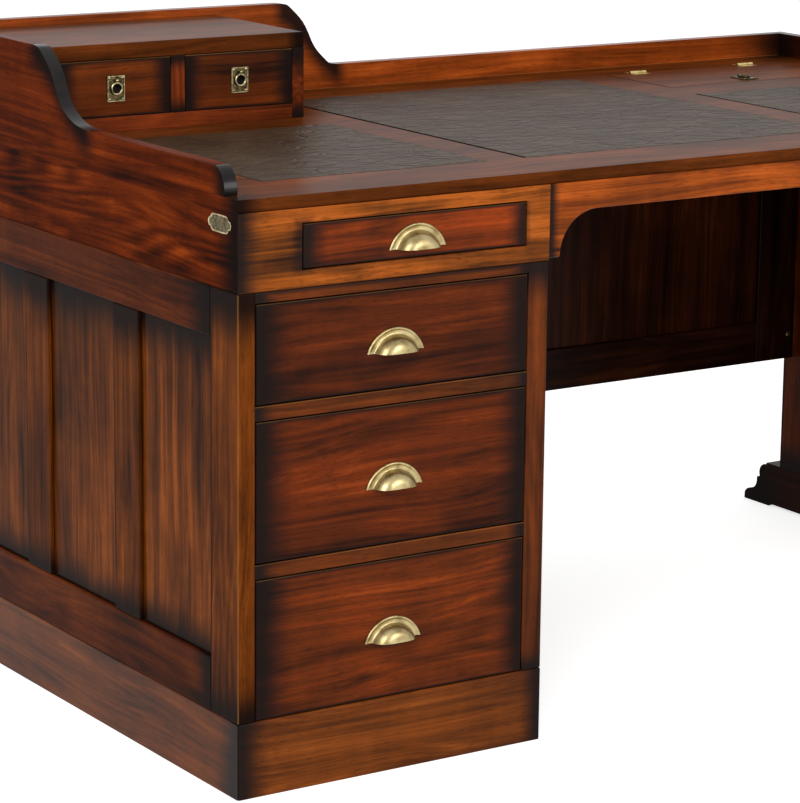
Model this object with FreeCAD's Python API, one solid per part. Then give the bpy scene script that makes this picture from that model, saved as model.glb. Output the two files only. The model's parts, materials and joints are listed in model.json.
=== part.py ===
import FreeCAD, Part
import math
import os

# Captain's desk: a three-drawer pedestal on the left, a panelled end on a
# sledge foot on the right, a leather-inlaid top with a gallery, a small drawer
# box and a hinged flap. All sizes are millimetres.
# Working frame: X to the right, Y to the back, Z up, with the plinth's
# front-left-bottom corner at 0, 0, 0. The origin is moved when a node is saved.

# ---- driving dimensions -------------------------------------------------
desk_w = 1572.0          # overall width
top_d = 862.0            # depth of the top, front edge to back edge
top_z = 780.0            # height of the writing surface
top_t = 17.0             # thickness of the top
frieze_h = 101.0         # height of the drawer frieze below the top
plinth_h = 102.0         # height of the pedestal's plinth
ped_w = 474.0            # width of the pedestal
ped_back = 17.0          # the back of the top stands this far past the pedestal
side_t = 18.0            # thickness of case sides and frames
stile_w = 70.0           # width of stiles and muntins in the panelled sides
top_rail_h = 65.0        # height of the side's top rail
bottom_rail_h = 73.0     # height of the side's bottom rail
panel_t = 9.0            # thickness of a loose panel
groove = 7.0             # depth of the groove that holds a panel
panel_play = 0.5         # play of a panel in its groove, each way
front_stile_l = 25.0     # pedestal face: left stile
front_stile_r = 32.0     # pedestal face: right stile
face_rail_h = 19.0       # pedestal face: rails between drawers
reveal = 1.5             # gap round every drawer front
run_gap = 0.3            # running clearance under a drawer
side_gap = 3.0           # clearance beside a drawer box
drawer_middle_h = 184.0  # height of the middle drawer front
drawer_upper_h = 129.0   # height of the upper drawer front
face_top_h = 14.0        # pedestal face: rail over the upper drawer
drawer_back = 205.0      # from the end of a large drawer box to the pedestal's back
front_t = 20.0           # thickness of drawer fronts
box_t = 12.0             # thickness of drawer box sides
bottom_t = 6.0           # thickness of drawer bottoms
frieze_drawer_x0 = 95.0  # frieze drawer front, left edge
frieze_drawer_x1 = 38.0  # its right edge, from the pedestal's right side
frieze_drawer_z = 24.0   # its height above the frieze's lower edge
frieze_drawer_top = 20.0 # its distance below the frieze's upper edge
apron_h = 38.0           # depth of the kneehole apron
apron_t = 18.0           # thickness of the apron
bracket_w = 18.0         # width of the bracket at each end of the apron
bracket_r = 60.0         # radius of the bracket's cove
bracket_drop = 98.0      # height of the bracket
leather_t = 2.0          # thickness of a leather inlay
leather_y0 = 114.0       # front edge of the inlays
leather_side_x0 = 103.0  # outer edge of the side inlays, from the desk's end
leather_side_w = 347.0   # width of the side inlays
leather_lid = 80.0       # from the side inlays to the flap's front edge
leather_gap = 67.0       # wood between the centre inlay and the side ones
leather_back = 108.0     # from the centre inlay to the back of the top
gallery_t = 19.0         # thickness of the gallery
gallery_low = 37.0       # height of its low part above the top
gallery_high = 135.0     # height of its high part above the top
gallery_y0 = 33.0        # front end of the side galleries
swoop_set = 32.0         # left gallery: full height this far in front of the box
swoop_rise = 172.0       # left gallery: length of the rising curve
swoop_past = 89.0        # back gallery: starts to fall this far past the box
swoop_fall = 143.0       # back gallery: length of the falling curve
case_d = 253.0           # depth of the small drawer box
case_in = 18.0           # its right side, from the pedestal's right side
case_h = 124.0           # its height above the top
case_top_t = 22.0        # thickness of its top
case_bottom_t = 21.0     # thickness of its bottom
case_stile_l = 40.0      # its left stile
case_stile_m = 22.0      # its middle stile
case_stile_r = 19.0      # its right stile
small_back = 38.0        # space behind the small drawers, to the box's back
small_front_t = 14.0     # thickness of the small drawer fronts
small_box_t = 8.0        # thickness of their sides
lid_end = 93.0           # right edge of the hinged flap, from the desk's end
lid_w = 345.0            # width of the flap
lid_back = 97.0          # rear edge of the flap, from the back of the top
lid_d = 169.0            # depth of the flap
lid_gap = 1.5            # gap round the flap
well_d = 80.0            # depth of the compartment under the flap
well_t = 10.0            # thickness of its boards
end_t = 32.0             # thickness of the right end panel
end_inset = 79.0         # its inset from the front and back of the top
foot_h = 75.0            # height of the sledge foot
foot_over = 14.0         # how far the foot's toe passes the top's edge
foot_step = 36.5         # the foot's top shelf in front of the end panel
foot_pad = 66.0          # length of each pad under the foot
foot_relief = 4.0        # hollow between the pads
modesty_in = 101.0       # front face of the modesty panel, from the top's back
modesty_t = 22.0         # thickness of its frame
modesty_z0 = 273.0       # its lower edge
modesty_rail = 68.0      # height of its rails
modesty_stile = 80.0     # width of its stiles
pull_w = 87.0            # width of a cup pull
pull_h = 32.0            # height of a cup pull
pull_out = 20.0          # how far a cup pull stands out
pull_wall = 1.8          # thickness of a cup pull's wall
pull_flange = 11.6       # width of its flange round the hood
plate_w = 28.0           # width of a ring-pull plate
plate_h = 37.0           # height of a ring-pull plate
plate_t = 1.6            # thickness of a ring-pull plate
dish_r = 9.5             # radius of the dish behind the ring
dish_d = 5.0             # depth of the dish below the plate's face
ring_r = 8.0             # radius of the drop ring, to the middle of its wire
ring_wire = 1.3          # radius of the ring's wire
ring_pin = 1.0           # radius of the ring's pin
ring_play = 0.05         # radial play of the ring on its pin
hinge_w = 32.0           # width of a butt hinge
hinge_leaf = 15.0        # width of one leaf
hinge_t = 1.6            # thickness of a leaf
knuckle_r = 3.0          # radius of the hinge's knuckle
edge = 1.2               # eased arrises of boards
glue_line = 0.05         # glue line in a mitre
joint_v = 1.5            # shadow line between plinth, pedestal and frieze

# ---- sizes that follow --------------------------------------------------
top_z0 = top_z - top_t
frieze_z0 = top_z0 - frieze_h
ped_d = top_d - ped_back
drawer_len = ped_d - drawer_back
face_rails = 2 * face_rail_h + face_top_h
drawer_lower_h = (frieze_z0 - plinth_h - face_rails - 6 * reveal
                  - drawer_middle_h - drawer_upper_h)
drawer_h = (drawer_lower_h, drawer_middle_h, drawer_upper_h)
frieze_drawer_w = ped_w - frieze_drawer_x0 - frieze_drawer_x1
frieze_drawer_h = frieze_h - frieze_drawer_z - frieze_drawer_top
lid_x0 = desk_w - lid_end - lid_w
lid_y0 = top_d - lid_back - lid_d
leather_side_d = lid_y0 - leather_lid - leather_y0
leather_mid_w = desk_w - 2 * (leather_side_x0 + leather_side_w + leather_gap)
leather_mid_d = top_d - leather_back - leather_y0
case_y0 = top_d - gallery_t - case_d
case_x1 = ped_w - case_in
case_z1 = top_z + case_h
small_len = case_d - small_back
swoop_y1 = case_y0 - swoop_set
swoop_y0 = swoop_y1 - swoop_rise
swoop_x0 = case_x1 + swoop_past
swoop_x1 = swoop_x0 + swoop_fall
modesty_y0 = top_d - modesty_in
pull_face = -pull_out
foot_y0 = -foot_over
foot_y1 = top_d + foot_over
origin = FreeCAD.Vector(desk_w / 2, (pull_face + foot_y1) / 2, 0)
V = FreeCAD.Vector
nodes = {}


def board(x0, y0, z0, x1, y1, z1):
    """Plain board between two corners."""
    return Part.makeBox(x1 - x0, y1 - y0, z1 - z0, V(x0, y0, z0))


def eased(shape, keep, size=edge):
    """Ease the straight edges whose middle point passes the test keep."""
    found = []
    for e in shape.Edges:
        mid = e.valueAt((e.FirstParameter + e.LastParameter) / 2)
        if keep(mid, e):
            found.append(e)
    return shape.makeChamfer(size, found) if found else shape


def near(a, b):
    return abs(a - b) < 0.01


def prism(points, along):
    """Extrude a closed polygon of points along a vector."""
    wire = Part.makePolygon(points + [points[0]])
    return Part.Face(wire).extrude(along)


def swept(edges, along):
    """Extrude the region inside a closed chain of edges."""
    wire = Part.Wire(Part.__sortEdges__(edges))
    return Part.Face(wire).extrude(along)


def save(node, solids):
    nodes.setdefault(node, []).extend(solids)


# ---- panelled frames ----------------------------------------------------
def frame_bits(place, length, height, n, stile, rail_b, rail_t, thick, inner):
    """Stiles, rails and loose panels of one framed wall.

    The wall is laid out in a local plane: u runs along it, w up it, and t
    from its show face (0) inwards. place(u0, t0, w0, u1, t1, w1) makes a board
    in the desk's frame. inner is the setback of the panels from the face.
    """
    wide = (length - stile * (n + 1)) / n
    frame = []
    panels = []
    g0 = inner - panel_play
    g1 = inner + panel_t + panel_play
    for i in range(n + 1):
        u = i * (stile + wide)
        full = i in (0, n)
        w0 = 0.0 if full else rail_b
        w1 = height if full else height - rail_t
        post = place(u, 0, w0, u + stile, thick, w1)
        lo = rail_b - groove
        hi = height - rail_t + groove
        if not full:
            lo = rail_b
            hi = height - rail_t
        if i > 0:
            post = post.cut(place(u, g0, lo, u + groove, g1, hi))
        if i < n:
            post = post.cut(place(u + stile - groove, g0, lo, u + stile, g1, hi))
        frame.append(post)
    u0 = stile
    u1 = length - stile
    low = place(u0, 0, 0, u1, thick, rail_b)
    low = low.cut(place(u0, g0, rail_b - groove, u1, g1, rail_b))
    high = place(u0, 0, height - rail_t, u1, thick, height)
    high = high.cut(place(u0, g0, height - rail_t, u1, g1, height - rail_t + groove))
    frame += [low, high]
    reach = groove - panel_play
    for i in range(n):
        u = stile + i * (stile + wide)
        panels.append(place(u - reach, inner, rail_b - reach,
                            u + wide + reach, inner + panel_t,
                            height - rail_t + reach))
    return frame, panels


# ---- pedestal -----------------------------------------------------------
carcass_z0 = plinth_h
carcass_z1 = frieze_z0

# Plinth: four boards mitred at the corners, with rounded outer corners.
plinth_t = 22.0


def mitred(p0, p1, p2, p3, slack):
    """Mitred board; slack draws its ends back along Y for the glue line."""
    pts = [V(p[0], p[1], 0) for p in (p0, p1, p2, p3)]
    for q in pts:
        if slack:
            q.y += slack if q.y < ped_d / 2 else -slack
    return prism(pts, V(0, 0, plinth_h))


ring_out = [(0, 0), (ped_w, 0), (ped_w, ped_d), (0, ped_d)]
ring_in = [(plinth_t, plinth_t), (ped_w - plinth_t, plinth_t),
           (ped_w - plinth_t, ped_d - plinth_t), (plinth_t, ped_d - plinth_t)]
for i in range(4):
    j = (i + 1) % 4
    slack = glue_line if i in (1, 3) else 0.0
    bit = mitred(ring_out[i], ring_out[j], ring_in[j], ring_in[i], slack)

    def outer_top(m, e):
        on_out = (near(m.x, 0) or near(m.x, ped_w) or near(m.y, 0) or near(m.y, ped_d))
        return on_out and near(m.z, plinth_h) and e.Length > 100
    save("plinth", [eased(bit, outer_top, joint_v)])

# Left side: frame and panel, the whole height of the carcass.
side_h = carcass_z1 - carcass_z0


def on_left(u0, t0, w0, u1, t1, w1):
    return board(t0, u0, carcass_z0 + w0, t1, u1, carcass_z0 + w1)


left_frame, left_panels = frame_bits(on_left, ped_d, side_h, 3, stile_w,
                                     bottom_rail_h, top_rail_h, side_t, 6.0)
ease_left = []


def arris(m, e):
    """Shadow lines at the carcass's ends and eased edges round the panels."""
    ends = near(m.z, carcass_z0) or near(m.z, carcass_z1)
    if near(m.y, 0) and ends:
        return True
    if not near(m.x, 0) or e.Length < 20:
        return False
    inside_y = stile_w - 1 < m.y < ped_d - stile_w + 1
    inside_z = carcass_z0 + bottom_rail_h - 1 < m.z < carcass_z1 - top_rail_h + 1
    return (inside_y and inside_z) or ends


for bit in left_frame:
    ease_left.append(bit)
# The front stile is a corner post: it turns on to the pedestal's face.
post_return = board(side_t, 0, carcass_z0, front_stile_l, side_t, carcass_z1)
ease_left[0] = ease_left[0].fuse(post_return).removeSplitter()
save("side_frame", [eased(bit, arris, joint_v) for bit in ease_left])
save("side_panels", left_panels)

# Inner side, bottom and back of the carcass.
save("inner_side", [board(ped_w - side_t, side_t, carcass_z0, ped_w, ped_d, carcass_z1)])
save("carcass_bottom", [board(plinth_t, plinth_t, carcass_z0 - side_t,
                              ped_w - plinth_t, ped_d - plinth_t, carcass_z0)])
back_t = 9.0
save("carcass_back", [board(side_t, ped_d - back_t, carcass_z0,
                            ped_w - side_t, ped_d, carcass_z1)])

# Face of the pedestal: right stile, a top rail and the rails between drawers.
# The side's corner post is its left stile.
face_t = side_t
open_x0 = front_stile_l
open_x1 = ped_w - front_stile_r
face = []
face.append(board(open_x1, 0, carcass_z0, ped_w, face_t, carcass_z1))
levels = []
z = carcass_z0
for i, h in enumerate(drawer_h):
    levels.append(z)
    z = z + h + 2 * reveal
    if i < len(drawer_h) - 1:
        face.append(board(open_x0, 0, z, open_x1, face_t, z + face_rail_h))
        z += face_rail_h
face.append(board(open_x0, 0, z, open_x1, face_t, carcass_z1))
eased_face = []
for bit in face:
    def face_arris(m, e):
        if not near(m.y, 0) or e.Length < 15:
            return False
        return near(m.z, carcass_z0) or near(m.z, carcass_z1) or near(m.x, ped_w)
    eased_face.append(eased(bit, face_arris, joint_v))
save("face_frame", eased_face)


# ---- drawers ------------------------------------------------------------
def cup_pull(cx, cz):
    """Bin pull: a beaded flange and a hood, open underneath.

    The flange is a segment of a circle, pull_w wide and pull_h high. One wall
    profile is turned about that circle's centre, which lies below the pull,
    and the turned shell is cut off level at the pull's lower edge.
    """
    half = pull_w / 2
    r = (half * half + pull_h * pull_h) / (2 * pull_h)
    drop = r - pull_h
    w = pull_wall
    hood_r = r - pull_flange
    rim = [V(r, 0, 0), V(r, -w * 1.7, 0), V(r - 2.6, -w * 1.7, 0),
           V(r - 4.0, -w * 0.9, 0), V(hood_r + 1.5, -w * 0.9, 0)]
    outer = [Part.LineSegment(a, b).toShape() for a, b in zip(rim, rim[1:])]
    foot = V(hood_r - w, 0, 0)
    lip_o = V(drop, -pull_out, 0)
    lip_i = V(drop, -pull_out + w, 0)
    mid_o = V(drop + (hood_r + 1.5 - drop) * 0.72, -pull_out * 0.74, 0)
    mid_i = V(drop + (hood_r - w - drop) * 0.70, -(pull_out - w) * 0.74, 0)
    loop = outer + [Part.Arc(rim[-1], mid_o, lip_o).toShape(),
                    Part.LineSegment(lip_o, V(0, -pull_out, 0)).toShape(),
                    Part.LineSegment(V(0, -pull_out, 0), V(0, -pull_out + w, 0)).toShape(),
                    Part.LineSegment(V(0, -pull_out + w, 0), lip_i).toShape(),
                    Part.LineSegment(lip_i, mid_i).toShape(),
                    Part.LineSegment(mid_i, foot).toShape(),
                    Part.LineSegment(foot, rim[0]).toShape()]
    shell = Part.Face(Part.Wire(loop)).revolve(V(0, 0, 0), V(0, 1, 0), -180)
    shell = shell.cut(board(-r - 1, -pull_out - 1, -1, r + 1, 1, drop))
    shell.translate(V(cx, 0, cz - pull_h / 2 - drop))
    return shell


def big_drawer(name, x0, z0, width, height, pull_x):
    """Front, open box of boards with a bottom, and a cup pull."""
    x1 = x0 + width
    z1 = z0 + height
    front = board(x0, 0, z0, x1, front_t, z1)
    front = eased(front, lambda m, e: near(m.y, 0))
    box_x0 = open_x0 + side_gap if name != "frieze" else x0 + side_gap + 2
    box_x1 = open_x1 - side_gap if name != "frieze" else x1 - side_gap - 2
    b0 = z0 + 4.0 if name != "frieze" else z0 + 3.0
    b1 = z1 - min(14.0, height * 0.16)
    y0 = front_t
    y1 = drawer_len
    bits = []
    for a in (box_x0, box_x1 - box_t):
        side = board(a, y0, b0, a + box_t, y1, b1)
        in_x = a + box_t - 5.0 if a == box_x0 else a
        side = side.cut(board(in_x, y0, b0 + 8.0, in_x + 5.0, y1, b0 + 8.0 + bottom_t))
        bits.append(side)
    in_x0 = box_x0 + box_t
    in_x1 = box_x1 - box_t
    bits.append(board(in_x0, y1 - box_t, b0 + 8.0 + bottom_t, in_x1, y1, b1))
    bits.append(board(in_x0, y0, b0 + 8.0 + bottom_t, in_x1, y0 + box_t, b1))
    tray = board(in_x0 - 4.5, y0, b0 + 8.0, in_x1 + 4.5, y1, b0 + 8.0 + bottom_t)
    save("drawer_" + name + "_front", [front])
    save("drawer_" + name + "_box", bits + [tray])
    save("drawer_" + name + "_pull", [cup_pull(pull_x, (z0 + z1) / 2)])
    return b0, box_x0, box_x1


names = ("lower", "middle", "upper")
run_y0 = max(front_t, face_t) + 0.5
for i, h in enumerate(drawer_h):
    z0 = levels[i] + reveal
    b0, bx0, bx1 = big_drawer(names[i], open_x0 + reveal, z0,
                              open_x1 - open_x0 - 2 * reveal, h,
                              (open_x0 + open_x1) / 2)
    # Wooden runners under the box sides, one pair for each drawer.
    run_t = 14.0
    top = b0 - run_gap
    low = max(top - run_t, carcass_z0)
    save("runners", [board(side_t, run_y0, low, bx0 + box_t - 1.0,
                           drawer_len + 20.0, top),
                     board(bx1 - box_t + 1.0, run_y0, low, ped_w - side_t,
                           drawer_len + 20.0, top)])

# ---- frieze -------------------------------------------------------------
fz0 = frieze_z0
fz1 = top_z0
fd_x0 = frieze_drawer_x0
fd_x1 = fd_x0 + frieze_drawer_w
fd_z0 = fz0 + frieze_drawer_z
fd_z1 = fd_z0 + frieze_drawer_h
hole_x0 = fd_x0 - reveal
hole_x1 = fd_x1 + reveal
hole_z0 = fd_z0 - reveal
hole_z1 = fd_z1 + reveal
up = V(0, 0, frieze_h)
mitre_l = [V(0, 0, fz0), V(hole_x0, 0, fz0), V(hole_x0, side_t, fz0), V(side_t, side_t, fz0)]
frieze_bits = [prism(mitre_l, up),
               board(hole_x1, 0, fz0, ped_w, side_t, fz1),
               board(hole_x0, 0, fz0, hole_x1, side_t, hole_z0),
               board(hole_x0, 0, hole_z1, hole_x1, side_t, fz1)]


def frieze_arris(m, e):
    return near(m.y, 0) and e.Length > 15 and near(m.z, fz0)


save("frieze_front", [eased(b, frieze_arris, joint_v) for b in frieze_bits])


def side_arris(m, e):
    out = near(m.x, 0) or near(m.x, ped_w)
    return out and near(m.z, fz0) and e.Length > 100


frieze_l = prism([V(0, 0, fz0), V(side_t, side_t, fz0), V(side_t, top_d, fz0),
                  V(0, top_d, fz0)], up)
frieze_r = board(ped_w - side_t, side_t, fz0, ped_w, top_d - side_t, fz1)
save("frieze_sides", [eased(frieze_l, side_arris, joint_v),
                      eased(frieze_r, side_arris, joint_v)])
save("frieze_back", [board(side_t, top_d - side_t, fz0, desk_w - end_t, top_d, fz1)])
fb0, fbx0, fbx1 = big_drawer("frieze", fd_x0, fd_z0, frieze_drawer_w,
                             frieze_drawer_h, (fd_x0 + fd_x1) / 2)
guide_h = fb0 - run_gap - fz0
save("frieze_runners", [board(fbx0 - 6.0, run_y0, fz0, fbx0 + box_t - 1.0,
                              drawer_len + 20.0, fz0 + guide_h),
                        board(fbx1 - box_t + 1.0, run_y0, fz0, fbx1 + 6.0,
                              drawer_len + 20.0, fz0 + guide_h)])
# Dust board between the frieze drawer and the pedestal.
save("dust_board", [board(side_t, face_t, carcass_z1 - 9.0, ped_w - side_t,
                          ped_d - back_t, carcass_z1)])

# Kneehole apron: a rail with a coved bracket at each end, cut from one board.
ax0 = ped_w
ax1 = desk_w - end_t
az0 = fz1 - apron_h
bz0 = fz1 - bracket_drop
k = math.sqrt(0.5)


def seg(a, b):
    return Part.LineSegment(a, b).toShape()


pl = [V(ax0, 0, bz0), V(ax0 + bracket_w, 0, bz0),
      V(ax0 + bracket_w + bracket_r, 0, az0),
      V(ax1 - bracket_w - bracket_r, 0, az0), V(ax1 - bracket_w, 0, bz0),
      V(ax1, 0, bz0), V(ax1, 0, fz1), V(ax0, 0, fz1)]
cove_l = V(ax0 + bracket_w + bracket_r * (1 - k), 0, bz0 + bracket_r * k)
cove_r = V(ax1 - bracket_w - bracket_r * (1 - k), 0, bz0 + bracket_r * k)
outline = [seg(pl[0], pl[1]), Part.Arc(pl[1], cove_l, pl[2]).toShape(),
           seg(pl[2], pl[3]), Part.Arc(pl[3], cove_r, pl[4]).toShape(),
           seg(pl[4], pl[5]), seg(pl[5], pl[6]), seg(pl[6], pl[7]), seg(pl[7], pl[0])]
apron = swept(outline, V(0, apron_t, 0))
save("apron", [eased(apron, lambda m, e: near(m.y, 0) and near(m.z, az0), edge)])

# ---- right end: frieze rail, panelled end, sledge foot -------------------
ex0 = desk_w - end_t
ey0 = end_inset
ey1 = top_d - end_inset
save("frieze_end", [eased(board(ex0, 0, fz0, desk_w, top_d, fz1),
                          lambda m, e: near(m.z, fz0) and e.Length > 100, edge)])


def on_right(u0, t0, w0, u1, t1, w1):
    return board(desk_w - t1, ey0 + u0, foot_h + w0, desk_w - t0, ey0 + u1, foot_h + w1)


end_frame, end_panels = frame_bits(on_right, ey1 - ey0, fz0 - foot_h, 2, stile_w,
                                   bottom_rail_h, top_rail_h, end_t, 11.0)
end_eased = []
for bit in end_frame:
    def end_arris(m, e):
        face = near(m.x, ex0) or near(m.x, desk_w)
        inside_y = ey0 + stile_w - 1 < m.y < ey1 - stile_w + 1
        lo = foot_h + bottom_rail_h - 1
        hi = fz0 - top_rail_h + 1
        return face and e.Length > 20 and inside_y and lo < m.z < hi
    end_eased.append(eased(bit, end_arris, edge))
save("end_frame", end_eased)
save("end_panels", end_panels)

# Sledge foot: one ogee end profile, mirrored about the middle of the desk.
mid_y = top_d / 2
h = foot_h
toe = foot_y1
shelf = ey1 + foot_step
run = toe - shelf
half = [V(0, toe, 0), V(0, toe, h * 0.14), V(0, toe - run * 0.28, h * 0.28),
        V(0, toe - run * 0.56, h * 0.60), V(0, toe - run * 0.70, h * 0.64),
        V(0, toe - run * 0.86, h * 0.94), V(0, shelf, h * 0.94), V(0, shelf, h)]


def foot_side(sign):
    """Edges of one end, from the ground up to the top."""
    def at(p):
        return V(ex0, mid_y + sign * (p.y - mid_y), p.z)
    p = [at(q) for q in half]
    low_mid = at(V(0, toe - run * 0.10, h * 0.235))
    cove_mid = at(V(0, toe - run * 0.50, h * 0.38))
    bead_mid = at(V(0, toe - run * 0.735, h * 0.87))
    return [seg(p[0], p[1]), Part.Arc(p[1], low_mid, p[2]).toShape(),
            Part.Arc(p[2], cove_mid, p[3]).toShape(), seg(p[3], p[4]),
            Part.Arc(p[4], bead_mid, p[5]).toShape(), seg(p[5], p[6]), seg(p[6], p[7])]


def foot_under(sign):
    a = V(ex0, mid_y + sign * (toe - mid_y), 0)
    b = V(ex0, mid_y + sign * (toe - foot_pad - mid_y), 0)
    c = V(ex0, mid_y + sign * (toe - foot_pad - foot_relief * 2 - mid_y), foot_relief)
    return a, b, c


a0, b0_, c0 = foot_under(-1)
a1, b1_, c1 = foot_under(1)
top0 = V(ex0, mid_y - (shelf - mid_y), h)
top1 = V(ex0, shelf, h)
edges = foot_side(-1) + foot_side(1) + [seg(top0, top1), seg(a0, b0_), seg(b0_, c0),
                                        seg(c0, c1), seg(c1, b1_), seg(b1_, a1)]
foot = swept(edges, V(end_t, 0, 0))
save("sledge_foot", [foot])

# ---- modesty panel ------------------------------------------------------
def on_back(u0, t0, w0, u1, t1, w1):
    return board(ped_w + u0, modesty_y0 + t0, modesty_z0 + w0,
                 ped_w + u1, modesty_y0 + t1, modesty_z0 + w1)


mod_frame, mod_panels = frame_bits(on_back, ex0 - ped_w, fz1 - modesty_z0, 1,
                                   modesty_stile, modesty_rail, modesty_rail,
                                   modesty_t, 7.0)
mod_eased = []
for bit in mod_frame:
    def mod_arris(m, e):
        inside_x = ped_w + modesty_stile - 1 < m.x < ex0 - modesty_stile + 1
        inside_z = modesty_z0 + modesty_rail - 1 < m.z < fz1 - modesty_rail + 1
        return near(m.y, modesty_y0) and e.Length > 20 and inside_x and inside_z
    mod_eased.append(eased(bit, mod_arris, joint_v))
save("modesty_frame", mod_eased)
save("modesty_panel", mod_panels)

# Brass heads of the knock-down bolts that tie the modesty panel's stiles.
bolt_r = 5.0
bolt_h = 2.0
bolt_in = 11.0
for bx in (ped_w + bolt_in, ex0 - bolt_in):
    for bz in (modesty_z0 + 43.0, fz0 - 60.0):
        head = Part.makeCone(bolt_r, bolt_r * 0.7, bolt_h, V(0, 0, 0), V(0, -1, 0))
        head.translate(V(bx, modesty_y0, bz))
        save("bolt_heads", [head])

# ---- top ----------------------------------------------------------------
lid_x1 = lid_x0 + lid_w
lid_y1 = lid_y0 + lid_d
hole = (lid_x0 - lid_gap, lid_y0 - lid_gap, lid_x1 + lid_gap, lid_y1 + lid_gap)
side_x1 = leather_side_x0 + leather_side_w
mid_x0 = (desk_w - leather_mid_w) / 2
inlays = [("leather_left", leather_side_x0, side_x1, leather_side_d),
          ("leather_centre", mid_x0, mid_x0 + leather_mid_w, leather_mid_d),
          ("leather_right", desk_w - side_x1, desk_w - leather_side_x0, leather_side_d)]
top_board = board(0, 0, top_z0, desk_w, top_d, top_z)
top_board = eased(top_board, lambda m, e: near(m.y, 0) and e.Length > 10, 2.0)
for name, x0, x1, d in inlays:
    pocket = board(x0, leather_y0, top_z - leather_t, x1, leather_y0 + d, top_z)
    top_board = top_board.cut(pocket)
    skin = board(x0 + 0.3, leather_y0 + 0.3, top_z - leather_t,
                 x1 - 0.3, leather_y0 + d - 0.3, top_z)
    save(name, [skin])
top_board = top_board.cut(board(hole[0], hole[1], top_z0, hole[2], hole[3], top_z))
hinge_x = (lid_x0 + lid_w * 0.18, lid_x1 - lid_w * 0.18)
leaf_fit = 0.2
for hx in hinge_x:
    x0 = hx - hinge_w / 2
    x1 = hx + hinge_w / 2
    cut = board(x0 - leaf_fit, hole[3], top_z - hinge_t,
                x1 + leaf_fit, hole[3] + hinge_leaf, top_z)
    top_board = top_board.cut(cut)

# Compartment under the flap.
wx0, wy0, wx1, wy1 = hole
wy1 = min(wy1, modesty_y0 - well_t)
wz0 = top_z0 - well_d
wz1 = top_z0
save("lid_well", [board(wx0 - well_t, wy0 - well_t, wz0, wx0, wy1 + well_t, wz1),
                  board(wx1, wy0 - well_t, wz0, wx1 + well_t, wy1 + well_t, wz1),
                  board(wx0, wy0 - well_t, wz0, wx1, wy0, wz1),
                  board(wx0, wy1, wz0, wx1, wy1 + well_t, wz1),
                  board(wx0 - well_t, wy0 - well_t, wz0 - well_t * 0.6,
                        wx1 + well_t, wy1 + well_t, wz0)])

# Flap, resting on two ledges screwed to the compartment's ends.
ledge = 12.0
save("lid_ledges", [board(wx0, wy0, wz1 - 12.0, wx0 + ledge, wy1, wz1 - 0.0),
                    board(wx1 - ledge, wy0, wz1 - 12.0, wx1, wy1, wz1 - 0.0)])
lid = board(lid_x0, lid_y0, top_z0 + run_gap, lid_x1, lid_y1, top_z)
lid = eased(lid, lambda m, e: near(m.z, top_z), 0.8)

# Butt hinges: a leaf let into the top, a leaf let into the flap, a knuckle on
# the line where they meet.
axis_y = lid_y1 + lid_gap / 2
axis_z = top_z + 0.4
fixed = []
moving = []
third = hinge_w / 3
for hx in hinge_x:
    x0 = hx - hinge_w / 2
    pocket = board(x0 - leaf_fit, lid_y1 - hinge_leaf, top_z - hinge_t,
                   x0 + hinge_w + leaf_fit, lid_y1, top_z)
    lid = lid.cut(pocket)
    pin_r = 1.2
    leaf_f = board(x0, axis_y, top_z - hinge_t, x0 + hinge_w, axis_y + hinge_leaf, top_z)
    leaf_m = board(x0, lid_y1 - hinge_leaf + 0.2, top_z - hinge_t,
                   x0 + hinge_w, axis_y, top_z)
    for i in range(3):
        a = x0 + third * i
        barrel = Part.makeCylinder(knuckle_r, third - 0.4, V(a + 0.2, axis_y, axis_z), V(1, 0, 0))
        clear = Part.makeCylinder(knuckle_r + 0.3, third, V(a, axis_y, axis_z), V(1, 0, 0))
        if i == 1:
            bore = Part.makeCylinder(pin_r + 0.05, third, V(a, axis_y, axis_z), V(1, 0, 0))
            leaf_m = leaf_m.fuse(barrel)
            leaf_m = leaf_m.cut(bore)
            leaf_f = leaf_f.cut(clear)
        else:
            leaf_f = leaf_f.fuse(barrel)
            leaf_m = leaf_m.cut(clear)
    pin = Part.makeCylinder(pin_r, hinge_w - 1.0, V(x0 + 0.5, axis_y, axis_z), V(1, 0, 0))
    leaf_f = leaf_f.fuse(pin)
    room = Part.makeCylinder(knuckle_r + 0.3, hinge_w + 2 * leaf_fit,
                             V(x0 - leaf_fit, axis_y, axis_z), V(1, 0, 0))
    lid = lid.cut(room)
    top_board = top_board.cut(room)
    fixed.append(leaf_f.removeSplitter())
    moving.append(leaf_m.removeSplitter())


save("top_board", [top_board])

# ---- ring pulls ---------------------------------------------------------
def place_ring(shape, turn, at):
    """Stand a ring-pull piece, drawn facing -Y, where it belongs."""
    if turn:
        shape.rotate(V(0, 0, 0), V(1, 0, 0), turn)
    shape.translate(at)
    return shape


def ring_plate():
    """Plate with a dished hole and two ears that hold the ring's pin."""
    plate = board(-plate_w / 2, -plate_t, -plate_h / 2, plate_w / 2, 0, plate_h / 2)
    plate = eased(plate, lambda m, e: near(m.y, -plate_t), 0.5)
    plate = plate.cut(Part.makeCylinder(dish_r, plate_t + 2, V(0, 1, dish_drop), V(0, -1, 0)))
    pin_y = -plate_t - ear_out
    for s in (-1, 1):
        x = s * 2.9 - 0.9
        ear = board(x, pin_y - 1.6, pin_z - 1.7, x + 1.8, -plate_t, pin_z + 1.7)
        ear = eased(ear, lambda m, e: near(m.y, pin_y - 1.6) and near(e.Length, 1.8), 1.0)
        plate = plate.fuse(ear)
    pin = Part.makeCylinder(ring_pin, 7.0, V(-3.5, pin_y, pin_z), V(1, 0, 0))
    plate = plate.fuse(pin).removeSplitter()
    return plate


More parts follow.
